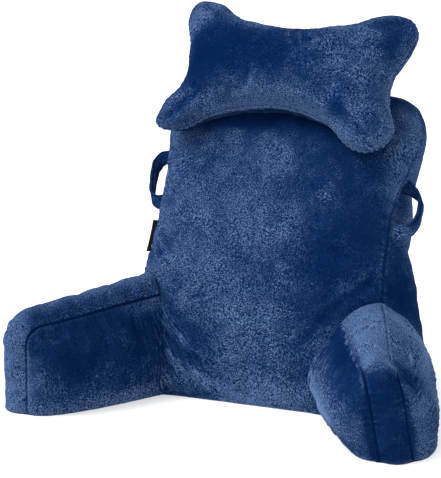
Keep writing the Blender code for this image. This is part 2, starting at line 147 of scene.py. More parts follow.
# Pinches that pleats spread from: across, up, heading and spread in degrees, reach, weight, bend
BACK_FANS = (
    (-0.214, 0.212, -68.0, 27.0, 0.2, 1.0, 0.5), (0.212, 0.19, 205.0, 44.0, 0.11, 0.4, 0.0),
    (-0.228, 0.35, 10.0, 60.0, 0.03, 0.6, 0.0), (-0.232, 0.44, 0.0, 60.0, 0.03, 0.6, 0.0),
    (0.226, 0.333, 180.0, 60.0, 0.04, 0.7, 0.0), (0.23, 0.414, 180.0, 60.0, 0.04, 0.7, 0.0),
)
NECK_FOLDS = (
    (-0.205, -0.122, -0.125, -0.06, 0.006, 0.0022, 0.008), (0.205, -0.12, 0.135, -0.06, -0.006, 0.0022, 0.008),
    (-0.212, 0.132, -0.145, 0.085, -0.006, 0.0022, 0.008), (0.206, 0.124, 0.145, 0.085, 0.006, 0.0022, 0.008),
    (0.01, 0.082, 0.04, 0.03, 0.004, 0.0026, 0.006), (0.03, 0.084, 0.054, 0.038, 0.004, 0.0022, 0.005),
    (-0.06, -0.066, -0.04, -0.02, 0.002, 0.0018, 0.007),
)
# Along and up the arms' flanks
ARM_FANS = {
    "arm_left": ((0.145, 0.200, -88.0, 24.0, 0.170, 0.9, -1.6), (0.370, 0.150, 200.0, 40.0, 0.050, 0.3, 0.0)),
    "arm_right": ((0.150, 0.190, -50.0, 60.0, 0.190, 1.0, -3.0), (0.385, 0.040, 150.0, 50.0, 0.090, 0.8, 0.0)),
}
NECK_FANS = (
    (-0.222, -0.134, 42.0, 46.0, 0.055, 0.6, 0.0), (-0.226, 0.146, -36.0, 46.0, 0.05, 0.5, 0.0),
    (0.22, 0.136, 216.0, 46.0, 0.06, 0.6, 0.0), (0.224, -0.134, 140.0, 46.0, 0.055, 0.6, 0.0),
    (0.02, 0.11, -70.0, 40.0, 0.05, 0.5, 0.0),
)

# ------------------------ where the velour's tone lies light or dark: the nap's own, and painted light and shade

# Across the backrest's front and up its side gusset: place, tone. The tone is partly the nap's own and partly painted
# light and shade; the front's darker right part is painted shade where it turns from the light
BACK_NAP_AND_SHADING = np.array((
    (-0.27, 0.42), (-0.22, 0.35), (-0.16, 0.3), (-0.1, 0.3), (-0.03, 0.27), (0.02, 0.23), (0.06, 0.18), (0.1, 0.11),
    (0.14, 0.03), (0.18, 0.01), (0.26, 0.01),
))
GUSSET_NAP_AND_SHADING = np.array((
    (0.0, 0.06), (0.17, 0.16), (0.21, 0.01), (0.27, 0.05), (0.31, 0.15), (0.34, 0.32), (0.37, 0.2), (0.4, 0.2),
    (0.44, 0.24), (0.47, 0.28), (0.5, 0.24), (0.53, 0.1), (0.58, 0.1),
))
# Soft patches: two flat coordinates, half extent along each, strength. They are partly the nap's own tone and partly
# painted light and shade
BACK_PATCHES = (
    # Painted sheen along the right edge: (0.245, 0.48) and (0.225, 0.38)
    (0.245, 0.48, 0.04, 0.08, 0.22), (0.18, 0.48, 0.05, 0.06, 0.06), (0.225, 0.38, 0.025, 0.07, 0.24),
    (-0.16, 0.08, 0.04, 0.1, -0.02), (-0.04, 0.205, 0.13, 0.055, 0.14), (0.02, 0.11, 0.1, 0.045, -0.03),
    # The neck pillow's painted shadow: (-0.11, 0.502) and (0.02, 0.515)
    (0.045, 0.012, 0.12, 0.038, 0.5), (0.165, 0.12, 0.03, 0.05, 0.18), (-0.11, 0.502, 0.085, 0.024, -0.46),
    # Painted shade in the crease and folds where the left arm meets the backrest: (-0.16, 0.08), (-0.205, 0.245) and
    # (-0.175, 0.205)
    (0.02, 0.515, 0.12, 0.024, -0.36), (0.08, 0.47, 0.09, 0.05, -0.1), (-0.205, 0.245, 0.025, 0.022, -0.22),
    (-0.175, 0.205, 0.045, 0.016, -0.14), (-0.11, 0.29, 0.035, 0.04, 0.12), (-0.22, 0.42, 0.02, 0.06, 0.1),
    (0.025, 0.375, 0.05, 0.032, -0.17), (-0.11, 0.425, 0.05, 0.03, -0.08), (0.1, 0.215, 0.036, 0.04, 0.13),
    # Painted contact shade where the front meets the floor: (-0.09, 0.012)
    (-0.09, 0.012, 0.06, 0.018, -0.36),
)
GUSSET_PATCHES = ((0.55, 0.33, 0.25, 0.08, 0.25),)
# Over the neck pillow, partly the nap's own tone and partly painted light and shade: (0.02, -0.068), (0.14, -0.115),
# (0.18, -0.14), (-0.06, 0.09) and (0.08, 0.092) are painted sheen along its lower and upper edges
NECK_PATCHES = (
    (0.235, 0.06, 0.03, 0.06, -0.1), (0.07, -0.06, 0.03, 0.03, -0.06), (-0.09, 0.03, 0.065, 0.055, -0.5),
    (0.005, 0.015, 0.045, 0.045, -0.2), (-0.16, -0.02, 0.035, 0.05, -0.38), (-0.205, 0.1, 0.03, 0.05, 0.18),
    (0.02, -0.068, 0.11, 0.026, 0.28), (0.14, -0.115, 0.05, 0.022, 0.18), (0.18, -0.14, 0.04, 0.02, 0.2),
    (0.1, 0.01, 0.06, 0.045, 0.06), (0.13, 0.08, 0.06, 0.03, 0.08), (-0.06, 0.09, 0.045, 0.016, 0.26),
    (0.08, 0.092, 0.035, 0.014, 0.22), (0.195, 0.06, 0.018, 0.045, -0.18), (0.135, -0.075, 0.018, 0.018, -0.2),
    (-0.12, -0.05, 0.036, 0.024, -0.17), (0.145, -0.05, 0.022, 0.05, -0.11),
)
# Along and up the flanks of the arms, as shares: partly the nap's own tone and partly painted light and shade; the
# light patches on the right arm's outer flank are painted light
INNER_PATCHES = {
    "arm_left": ((0.38, 0.50, 0.18, 0.70, 0.10), (0.65, 0.03, 0.45, 0.13, 0.46), (0.97, 0.35, 0.10, 0.40, 0.22),
                 (0.35, 0.95, 0.14, 0.10, 0.20), (0.70, 0.30, 0.30, 0.16, 0.10)),
    "arm_right": ((0.56, 0.34, 0.28, 0.20, 0.50), (0.95, 0.80, 0.12, 0.20, -0.10), (0.55, 0.92, 0.36, 0.18, -0.34),
                  (0.84, 0.42, 0.08, 0.12, 0.16), (0.58, 0.28, 0.28, 0.09, 0.42)),
}
OUTER_PATCHES = {
    "arm_left": ((0.50, 0.30, 0.25, 0.25, 0.15), (0.80, 0.70, 0.20, 0.20, 0.12)),
    "arm_right": ((0.35, 0.80, 0.09, 0.30, 0.44), (0.60, 0.60, 0.16, 0.12, 0.26), (0.86, 0.82, 0.08, 0.12, -0.34),
                  (0.90, 0.58, 0.08, 0.10, 0.22), (0.96, 0.95, 0.06, 0.08, -0.20), (0.48, 0.67, 0.15, 0.08, 0.34),
                  (0.66, 0.40, 0.09, 0.12, 0.44)),
}
# Base tone of the arms' inner and outer flanks, partly the nap's own and partly painted shade: the left arm's inner
# flank, turned from the light, is darkest
FLANK_NAP_AND_SHADING = {"arm_left": (0.03, 0.30), "arm_right": (0.26, 0.32)}


# ------------------------ arrays

def ease(x):
    """3x^2 - 2x^3, for x held between 0 and 1."""
    x = np.clip(x, 0.0, 1.0)
    return x * x * (3.0 - 2.0 * x)


def through(xs, ys, at):
    """Cubic Hermite curve through the points (xs, ys), whose slopes are the central differences."""
    slope = np.gradient(ys, xs)
    i = np.clip(np.searchsorted(xs, at) - 1, 0, len(xs) - 2)
    h = xs[i + 1] - xs[i]
    t = np.clip((at - xs[i]) / h, 0.0, 1.0)
    return (
        (2 * t**3 - 3 * t**2 + 1) * ys[i]
        + (t**3 - 2 * t**2 + t) * h * slope[i]
        + (3 * t**2 - 2 * t**3) * ys[i + 1]
        + (t**3 - t**2) * h * slope[i + 1]
    )


def patches(a, b, table):
    """Sum of soft ellipses: strength * exp(-((a - a0)/ra)^2 - ((b - b0)/rb)^2)."""
    return sum(k * np.exp(-(((a - a0) / ra) ** 2) - ((b - b0) / rb) ** 2) for a0, b0, ra, rb, k in table)


def noise(points, size, seed):
    """Value noise from -1 to 1: random numbers at the corners of cells of one size, eased between them."""
    table = np.random.default_rng(seed).uniform(-1.0, 1.0, 4096)
    cell = np.floor(points / size).astype(np.int64)
    t = ease(points / size - cell)
    total = np.zeros(len(points))
    for corner in range(8):
        step = np.array([(corner >> axis) & 1 for axis in range(3)])
        at = cell + step
        key = (at[:, 0] * 73856093 ^ at[:, 1] * 19349663 ^ at[:, 2] * 83492791) & 4095
        total += table[key] * np.prod(np.where(step, t, 1.0 - t), axis=1)
    return total


def turbulence(points, size, seed, octaves=3):
    """Sum of octaves of noise, each half the size and half the height of the one before."""
    return sum(noise(points, size / 2**k, seed + k) / 2**k for k in range(octaves))


def spaced(i, count):
    """Share of lattice row i of count, the rows beside the two ends drawn closer to them."""
    first = 0.45 / count
    inner = first + (i - 1) * (1.0 - 2.0 * first) / (count - 2)
    return np.where(i == 0, 0.0, np.where(i == count, 1.0, inner))


def coons(u, w, bottom, top, left, right):
    """bottom(1-w) + top w + left(1-u) + right u, less the bilinear sheet between the four corners."""
    zero, one = np.zeros(1), np.ones(1)
    a, b = u[:, None], w[:, None]
    corners = (
        bottom(zero) * (1 - a) * (1 - b) + bottom(one) * a * (1 - b) + top(zero) * (1 - a) * b + top(one) * a * b
    )
    return bottom(u) * (1 - b) + top(u) * b + left(w) * (1 - a) + right(w) * a - corners


def rounded_edge(distance, straight, radius, turn):
    """A line that runs straight, then along an arc: straight + r sin(angle) along, r(1 - cos(angle)) in."""
    angle = np.clip((distance - straight) / radius, 0.0, turn)
    return np.minimum(distance, straight) + radius * np.sin(angle), radius * (1 - np.cos(angle))


def grid_quads(index):
    """The quads between the rows and columns of a grid of point numbers."""
    return np.stack([index[:-1, :-1], index[1:, :-1], index[1:, 1:], index[:-1, 1:]], axis=-1).reshape(-1, 4)


def rim_of(index):
    """The point numbers round a grid, from its first corner back to it."""
    return np.concatenate([index[0, :], index[1:, -1], index[-1, -2::-1], index[-2::-1, 0]])


def box_lattice(cells):
    """Shares (u, v, w) and rows of the points on a box's six faces, their index by row, and the quads."""
    rows = np.stack(np.meshgrid(*(np.arange(n + 1) for n in cells), indexing="ij"), axis=-1)
    shell = (rows % cells == 0).any(axis=-1)
    index = np.full(shell.shape, -1)
    index[shell] = np.arange(shell.sum())
    quads = []
    for axis, end, flipped in ((0, 0, 1), (0, -1, 0), (1, 0, 0), (1, -1, 1), (2, 0, 1), (2, -1, 0)):
        face = grid_quads(np.take(index, end, axis=axis))
        quads.append(face[:, ::-1] if flipped else face)
    shares = np.stack([spaced(rows[shell][:, n], cells[n]) for n in range(3)], axis=1)
    return shares, rows[shell], index, np.concatenate(quads)


def two_sheet_lattice(nu, nw):
    """Shares (u, w, side) of two grids that share their border, the front grid's point numbers, and the quads.

    The side is 1 in front and -1 behind. The rows are spaced 0.65 evenly and 0.35 by a cosine, closer at the border.
    """
    i, k = np.meshgrid(np.arange(nu + 1), np.arange(nw + 1), indexing="ij")
    front = np.arange(i.size).reshape(i.shape)
    inner = (i % nu > 0) & (k % nw > 0)
    back = front.copy()
    back[inner] = i.size + np.arange(inner.sum())
    closer = [0.5 - 0.175 * np.cos(math.pi * row / n) - 0.65 * (0.5 - row / n) for row, n in ((i, nu), (k, nw))]
    sheets = [np.stack([*closer, np.full(i.shape, side)], axis=-1) for side in (1.0, -1.0)]
    shares = np.concatenate([sheets[0].reshape(-1, 3), sheets[1][inner]])
    return shares, front, np.concatenate([grid_quads(front), grid_quads(back)[:, ::-1]])


def lengths_along(line):
    """How far along a polyline each of its points is."""
    return np.concatenate([[0.0], np.cumsum(np.linalg.norm(np.diff(line, axis=0), axis=1))])


def on_line(line, lengths, at):
    """Points at some places along a polyline, whose own points lie at the given lengths."""
    return np.stack([np.interp(at, lengths, column) for column in line.T], axis=1)


def nearest_on(points, lines, step=0.0012):
    """Distance from each point to the nearest of some polylines, and how far along them that is."""
    samples, along, start = [], [], 0.0
    for line in lines:
        lengths = lengths_along(line)
        at = np.linspace(0.0, lengths[-1], max(2, int(lengths[-1] / step)))
        samples.append(on_line(line, lengths, at))
        along.append(at + start)
        start += lengths[-1] + 0.05
    samples, along = np.concatenate(samples), np.concatenate(along)
    tree = KDTree(len(samples))
    for n, sample in enumerate(samples):
        tree.insert(sample, n)
    tree.balance()
    found = [tree.find(point)[1:] for point in points]
    return np.array([f[1] for f in found]), along[[f[0] for f in found]]


# ------------------------ meshes

def read(items, key, width=3):
    """One property of each item of a collection, such as a mesh's vertices, as an array."""
    values = np.empty(len(items) * width)
    items.foreach_get(key, values)
    return values.reshape(-1, width) if width > 1 else values


def read_points(mesh):
    """The places of a mesh's vertices."""
    return read(mesh.vertices, "co")


def write_points(mesh, points):
    """Moves a mesh's vertices to the points."""
    mesh.vertices.foreach_set("co", np.ascontiguousarray(points, dtype=np.float32).ravel())
    mesh.update()


def set_attribute(mesh, name, values):
    """Writes one number, or one vector, for each vertex."""
    kind, key = ("FLOAT_VECTOR", "vector") if values.ndim == 2 else ("FLOAT", "value")
    layer = mesh.attributes.get(name) or mesh.attributes.new(name, kind, "POINT")
    layer.data.foreach_set(key, np.ascontiguousarray(values, dtype=np.float32).ravel())


def get_attribute(mesh, name):
    """The number, or the vector, that each vertex has under a name."""
    layer = mesh.attributes[name]
    return read(layer.data, "vector") if layer.data_type == "FLOAT_VECTOR" else read(layer.data, "value", 1)


def new_piece(name, points, faces):
    """A new object of points and faces, shaded smooth, turned so that its volume is positive."""
    a, b, c, d = points[[face for face in faces if len(face) == 4]].transpose(1, 0, 2)
    volume = np.einsum("ij,ij->", a, np.cross(b, c)) + np.einsum("ij,ij->", a, np.cross(c, d))
    faces = [list(face) for face in faces] if volume > 0.0 else [list(face)[::-1] for face in faces]
    mesh = bpy.data.meshes.new(name)
    mesh.from_pydata(points.tolist(), [], faces)
    mesh.update()
    mesh.shade_smooth()
    piece = bpy.data.objects.new(name, mesh)
    bpy.context.scene.collection.objects.link(piece)
    return piece


def apply_modifiers(piece):
    """Replaces a piece's mesh with the result of its modifiers."""
    graph = bpy.context.evaluated_depsgraph_get()
    graph.update()
    mesh = bpy.data.meshes.new_from_object(piece.evaluated_get(graph), depsgraph=graph)
    old, piece.data = piece.data, mesh
    piece.modifiers.clear()
    bpy.data.meshes.remove(old)
    mesh.name = piece.name
    mesh.shade_smooth()


def subdivide(piece, seams, crease):
    """Applies Catmull-Clark subdivision twice, its seams kept sharper by a crease along their vertex lines."""
    mesh = piece.data
    pairs = {tuple(sorted(pair)) for line in seams for pair in zip(line[:-1].tolist(), line[1:].tolist())}
    layer = mesh.attributes.new("crease_edge", "FLOAT", "EDGE")
    values = np.array([crease if tuple(sorted(edge.vertices)) in pairs else 0.0 for edge in mesh.edges])
    layer.data.foreach_set("value", values.astype(np.float32))
    modifier = piece.modifiers.new("subdivide", "SUBSURF")
    modifier.levels = modifier.render_levels = 2
    apply_modifiers(piece)


def relax(values, quads, rounds):
    """Averages each point's value with its neighbours' along the quads' edges, for some rounds."""
    edges = np.concatenate([quads[:, [n, (n + 1) % 4]] for n in range(4)])
    ends = np.concatenate([edges, edges[:, ::-1]])
    count = np.bincount(ends[:, 0], minlength=len(values))[:, None]
    for _ in range(rounds):
        total = np.stack([np.bincount(ends[:, 0], values[ends[:, 1], a], len(values)) for a in range(3)], axis=1)
        values = 0.5 * values + 0.5 * total / count
    return values


def crumple(piece, quads, pinned, cap):
    """Cloth simulation under pressure, of cloth that is slack between pinned seams.

    Of each point's travel, the share that its neighbours have too is mostly taken back, and the rest is kept
    up to a cap, so that the cushion gains wrinkles and keeps its size.
    """
    scene = bpy.context.scene
    settings, start = scene.pillow_cloth, read_points(piece.data)
    group = piece.vertex_groups.new(name="pinned")
    group.add(np.flatnonzero(pinned).tolist(), 1.0, "REPLACE")
    cloth = piece.modifiers.new("cloth", "CLOTH")
    cloth.collision_settings.use_collision = cloth.collision_settings.use_self_collision = False
    cloth.point_cache.frame_start, cloth.point_cache.frame_end = 1, settings.frames
    facts = {
        "quality": 5, "mass": 0.3, "tension_stiffness": 15.0, "compression_stiffness": 15.0, "shear_stiffness": 5.0,
        "bending_stiffness": settings.bending, "use_pressure": True, "uniform_pressure_force": settings.pressure,
        "shrink_min": -settings.slack, "shrink_max": -settings.slack, "vertex_group_mass": "pinned",
    }
    for key, value in facts.items():
        setattr(cloth.settings, key, value)
    cloth.settings.effector_weights.gravity = 0.0
    for number in range(1, settings.frames + 1):
        scene.frame_set(number)
    graph = bpy.context.evaluated_depsgraph_get()
    travel = read_points(piece.evaluated_get(graph).data) - start
    piece.modifiers.remove(cloth)
    piece.vertex_groups.remove(group)
    scene.frame_set(1)
    travel -= settings.hold * relax(travel, quads, 24)
    length = np.linalg.norm(travel, axis=1, keepdims=True)
    travel *= np.minimum(1.0, cap / np.maximum(length, 1e-9)) * ~pinned[:, None]
    write_points(piece.data, start + travel)


def sew(name, points, quads, seams, held, cap, crease, stored):
    """A cover's mesh: a closed sheet that is pinned at its seams and where it is held, crumpled and subdivided.

    The stored values are attributes of its points, so that they follow the subdivision.
    """
    piece = new_piece(name, points, quads)
    for key, values in stored.items():
        set_attribute(piece.data, key, values)
    crumple(piece, quads, held | np.isin(np.arange(len(points)), np.concatenate(seams)), cap)
    subdivide(piece, seams, crease)
    return piece


# ------------------------ offsets of the cloth

def seam_offset(points, lines, groove, ripple, wave, reach, seed, shown):
    """Offset beside seams, at distance d from the nearest and place s along it, and d, s and how far it shows.

    A groove exp(-(d/2.4mm)^2) with a low rim 5.5 mm away, and gathers sin(2 pi s/wave + noise) that fade over
    the reach and vanish at the seam itself.
    """
    d, s = nearest_on(points, lines)
    row = np.stack([s, s * 0.0, s * 0.0], axis=1)
    n = noise(row, 0.045, seed)
    offset = groove * (0.35 * np.exp(-(((d - 0.0055) / 0.003) ** 2)) - np.exp(-((d / 0.0024) ** 2)))
    strength = np.clip(0.55 + 0.8 * noise(row, 0.030, seed + 1), 0.0, 1.4)
    gathers = np.sin(2.0 * math.pi * s / wave + 3.0 * n + 25.0 * d) * strength
    offset += ripple * gathers * np.exp(-d / reach) * (1.0 - np.exp(-((d / 0.003) ** 2)))
    return offset, np.stack([d, s, s * 0.0 + shown], axis=1)


def fold_offset(a, b, folds):
    """Folds in flat coordinates (a, b), each a valley along a bowed line with a low ridge on one side.

    -depth (exp(-(o/w)^2) - 0.45 exp(-((o - 1.7w)/w)^2)) at distance o from the line, faded at both ends.
    """
    total = np.zeros(len(a))
    for a0, b0, a1, b1, bow, depth, width in folds:
        run, rise = a1 - a0, b1 - b0
        length = math.hypot(run, rise)
        t = ((a - a0) * run + (b - b0) * rise) / length**2
        off = ((a - a0) * rise - (b - b0) * run) / length - bow * 4.0 * t * (1.0 - t)
        shape = np.exp(-((off / width) ** 2)) - 0.45 * np.exp(-(((off - 1.7 * width) / width) ** 2))
        total -= depth * shape * ease((t + 0.05) / 0.3) * ease((1.05 - t) / 0.3)
    return total


def fan_field(a, b, fans):
    """For each point the strongest fan's strength, the angle from its heading, and the distance from its pinch.

    The strength falls off with the angle and the distance, and rises from nothing over the first 12 mm. The
    heading turns by the bend, in radians a metre, on the way out.
    """
    best = np.zeros((len(a), 4))
    for n, (a0, b0, heading, spread, reach, weight, bend) in enumerate(fans):
        distance = np.hypot(a - a0, b - b0)
        angle = np.arctan2(b - b0, a - a0) - math.radians(heading) - bend * distance
        angle = (angle + math.pi) % (2.0 * math.pi) - math.pi
        strength = weight * np.exp(-((angle / math.radians(spread)) ** 4)) * np.exp(-((distance / reach) ** 2))
        strength = strength * ease(distance / 0.012)
        found = strength > best[:, 0]
        best[found] = np.stack([strength, angle, distance, angle * 0.0 + n], axis=1)[found]
    return best.T


def fan_offset(field, count, depth, seed):
    """Pleats that spread from a pinch: depth * strength * sin(count * angle + noise)."""
    strength, angle, distance, n = field
    wander = noise(np.stack([angle * 2.0, distance * 14.0, n * 7.3], axis=1), 1.0, seed)
    return depth * strength * np.sin(count * angle + 2.2 * wander)


def fan_comb(field):
    """Coordinates of nap combed from a pinch: 60 mm * angle across, the distance along, and their weight."""
    strength, angle, distance, n = field
    return np.stack([0.06 * angle + n, distance, np.clip(1.3 * strength, 0.0, 1.0)], axis=1)


def crinkle(points, size, depth, seed):
    """Small creases: depth * (|n| - 0.35) of warped noise n, so the valleys are sharp and the ridges broad."""
    warp = np.stack([noise(points, size * 2.5, seed + k) for k in range(3)], axis=1) * size * 0.6
    return depth * (np.abs(noise(points + warp, size, seed + 5)) - 0.35)


def filling_offset(points, share, broad, fine, crease, seed):
    """Lumps of the filling, a share of them broad and 0.3 of them fine, and small creases of the cloth."""
    shape = bpy.context.scene.pillow_shape
    lumps = share * turbulence(points, broad, seed) + 0.3 * turbulence(points, fine, seed + 10)
    return shape.lump * lumps + crinkle(points, crease, shape.crinkle, seed + 20)


def settle(piece, points):
    """Writes a piece's points, held on or above the floor."""
    write_points(piece.data, np.column_stack([points[:, :2], np.maximum(points[:, 2], 0.0)]))


def displace(piece, offset):
    """Moves each point along its normal by its offset."""
    settle(piece, read_points(piece.data) + read(piece.data.vertex_normals, "vector") * offset[:, None])


def tree_of(piece):
    """A search tree of a piece's faces."""
    return BVHTree.FromPolygons([v.co for v in piece.data.vertices], [tuple(p.vertices) for p in piece.data.polygons])


def push_clear(points, tree):
    """Moves each point that lies inside a closed surface, or too near it, to the clearance outside it."""
    moved = points.copy()
    for n, point in enumerate(points):
        nearest, normal, _, _ = tree.find_nearest(Vector(point), SEARCH)
        if nearest is not None and (Vector(point) - nearest).dot(normal) < CLEAR:
            moved[n] = nearest + normal * CLEAR
    return moved


def push_along(points, tree, heading):
    """Moves each point that lies inside a closed surface along the heading, until it has left it and is clear."""
    moved = points.copy()
    heading = Vector(heading).normalized()
    for n, point in enumerate(points):
        leaves, normal, _, _ = tree.ray_cast(Vector(point), heading)
        if leaves is not None and normal.dot(heading) > 0.0:
            moved[n] = leaves + heading * CLEAR
    return moved


# ------------------------ the backrest

def back_section(rise):
    """Half width, rear half width and depth at a rise up the front, through the table's rows."""
    return [through(BACK_SECTIONS[:, 0], BACK_SECTIONS[:, n], rise) for n in (1, 2, 3)]


def back_front(rise):
    """How far back and how high the front's plain surface is at a rise, along an arc, and its lean there."""
    bend = (TOP_LEAN - FOOT_LEAN) / BACK_RISE
    lean = FOOT_LEAN + bend * rise
    y = FOOT_Y + (math.cos(FOOT_LEAN) - np.cos(lean)) / bend
    z = (np.sin(lean) - math.sin(FOOT_LEAN)) / bend
    return y, z, lean


def back_outline(u, w):
    """Across and up the flat front: a Coons patch whose top corners are arcs."""
    turn = math.pi / 4.0
    side_straight = BACK_RISE - BACK_CORNER_R
    side_length = side_straight + BACK_CORNER_R * turn
    top_straight = BACK_SECTIONS[-1, 1] - BACK_CORNER_R
    top_length = top_straight + BACK_CORNER_R * turn

    def bottom(t):
        return np.stack([(2.0 * t - 1.0) * BACK_SECTIONS[0, 1], t * 0.0], axis=1)

    def top(t):
        along, drop = rounded_edge(np.abs(2.0 * t - 1.0) * top_length, top_straight, BACK_CORNER_R, turn)
        return np.stack([np.copysign(along, t - 0.5), BACK_RISE - drop], axis=1)

    def side(t, sign):
        rise, inward = rounded_edge(t * side_length, side_straight, BACK_CORNER_R, turn)
        half = back_section(np.minimum(rise, side_straight))[0]
        return np.stack([sign * (half - inward), rise], axis=1)

    return coons(u, w, bottom, top, lambda t: side(t, -1.0), lambda t: side(t, 1.0))


def back_edge_normal(u, up):
    """Direction out of the front's edge, square with it, across and up the panel."""
    low, high = np.maximum(up - 0.01, 0.0), np.minimum(up + 0.01, 1.0)
    beside = back_outline(u, high) - back_outline(u, low)
    beside *= np.where(u < 0.5, -1.0, 1.0)[:, None]
    over = back_outline(np.maximum(u - 0.01, 0.0), up) - back_outline(np.minimum(u + 0.01, 1.0), up)
    along = np.where(((u == 0.0) | (u == 1.0))[:, None], beside, over)
    along /= np.linalg.norm(along, axis=1, keepdims=True)
    return along[:, 1], np.maximum(-along[:, 0], 0.0)


def back_points(shares):
    """Points of the backrest, and their place across and up its front.

    Each is the front's point at (u, up), with up = w^1.1, moved inward by the depth times v. The front and rear
    bulge by the crown times sqrt((1 - |2u - 1|^3)(1 - (2 up - 1)^5)), and the gusset by its crown times
    sin(pi v), all less at the base. The foot's front flares out beside the arms, and the front's top spreads to
    the right.
    """
    u, v, w = shares.T
    up = w**1.1
    across, rise = back_outline(u, up).T
    half, rear_half, depth = back_section(rise)
    y, z, lean = back_front(rise)
    tilt = lean * ease(rise / TILT_RISE)
    zero = np.zeros_like(y)
    edge = 2.0 * u - 1.0
    y = y - FOOT_FLARE * (1.0 - v) * ease((np.abs(edge) - 0.45) / 0.5) * (1.0 - ease(rise / FLARE_RISE))
    across = across + RIGHT_SPREAD * (1.0 - v) * ease(edge) * ease((rise - 0.34) / 0.14)
    inward = np.stack([zero, np.cos(tilt), -np.sin(tilt)], axis=1)
    points = np.stack([across * (1.0 + (rear_half / half - 1.0) * v), y, z], axis=1) + inward * (depth * v)[:, None]
    base = 0.35 + 0.65 * ease(up / 0.06)
    swell = np.sqrt((1.0 - np.abs(edge) ** 3) * (1.0 - np.maximum(2.0 * up - 1.0, 0.0) ** 5)) * base
    bulge = np.where(v == 0.0, -BACK_CROWN, np.where(v == 1.0, BACK_CROWN, 0.0)) * swell
    points += inward * bulge[:, None]
    out_x, out_rise = back_edge_normal(u, up)
    gusset = (u == 0.0) | (u == 1.0) | (w == 1.0)
    side_crown = SIDE_CROWN[0] + (SIDE_CROWN[1] - SIDE_CROWN[0]) * ease((rise - 0.34) / 0.14)
    bulge = np.sin(math.pi * v) * (side_crown * np.abs(out_x) + TOP_CROWN * np.abs(out_rise)) * base * gusset
    points[:, 0] += bulge * out_x
    points += np.stack([zero, np.sin(lean), np.cos(lean)], axis=1) * (bulge * out_rise)[:, None]
    points[w == 0.0, 2] = 0.0
    return points, np.stack([across, rise, zero], axis=1)


def box_seams(index):
    """The vertex lines of a box lattice's twelve edges."""
    lines = []
    for j in (0, -1):
        lines += [index[0, j, :], index[-1, j, :], index[:, j, 0], index[:, j, -1]]
    return lines + [index[i, :, k] for i in (0, -1) for k in (0, -1)]


def build_backrest():
    """The backrest's cover: folds and pleats on its front, its tone from the tables, partly nap and partly painted
    light and shade, plain cloth behind.
    """
    shape = bpy.context.scene.pillow_shape
    shares, _, index, quads = box_lattice(BACK_CELLS)
    points, flat = back_points(shares)
    # the four edges that run from front to rear aren't sewn
    sewn = box_seams(index)[:8]
    stored = {"share": shares, "flat": flat}
    piece = sew("backrest_cover", points, quads, sewn, shares[:, 2] == 0.0, cap=0.008, crease=0.45, stored=stored)
    points = read_points(piece.data)
    u, v, w = get_attribute(piece.data, "share").T
    a, b = get_attribute(piece.data, "flat").T[:2]
    seams = [points[line] for j in (0, -1) for line in (index[0, j, :], index[-1, j, :], index[:, j, -1])]
    groove = 0.6 * shape.groove
    offset, beside = seam_offset(points, seams, groove, shape.gather, wave=0.0125, reach=0.011, seed=11, shown=0.1)
    on_front = ease((0.30 - v) / 0.20)
    fans = fan_field(a, b, BACK_FANS)
    offset += on_front * shape.fold * (fold_offset(a, b, BACK_FOLDS) + fan_offset(fans, 46.0, depth=0.0007, seed=21))
    offset += filling_offset(points, 1.0, broad=0.110, fine=0.030, crease=0.016, seed=31)
    offset += ease((v - 0.7) / 0.2) * crinkle(points, 0.050, 2.5 * shape.crinkle, 61)
    offset *= np.where(w < 0.02, BASE_SHARE, 1.0)
    displace(piece, offset)
    # the tone: the nap's own, with painted light and shade from the tables, such as the neck pillow's shadow
    front = through(*BACK_NAP_AND_SHADING.T, a) + patches(a, b, BACK_PATCHES)
    side = through(*GUSSET_NAP_AND_SHADING.T, b) + patches(v, b, GUSSET_PATCHES)
    nap_and_shading = front + (side - front) * ease((v - 0.005) / 0.04)
    # the rear, and the left gusset, which the photograph doesn't show
    hidden = np.maximum(ease((v - 0.85) / 0.1), ease((v - 0.01) / 0.05) * (u < 0.5))
    nap_and_shading += (0.30 - nap_and_shading) * hidden
    comb = fan_comb(fans)
    comb[:, 2] *= on_front
    finish_cloth(piece, offset, "backrest", nap_and_shading, beside, points, comb)


# ------------------------ the arm rests

def arm_axes(name):
    """Root of an arm's centreline, its direction forward and its direction outward."""
    side, splay = ARMS[name]["side"], math.radians(ARMS[name]["splay"])
    root = np.array((side * ARMS[name]["root"], FOOT_Y, 0.0))
    forward = np.array((side * math.sin(splay), -math.cos(splay), 0.0))
    outward = np.array((side * math.cos(splay), math.sin(splay), 0.0))
    return root, forward, outward


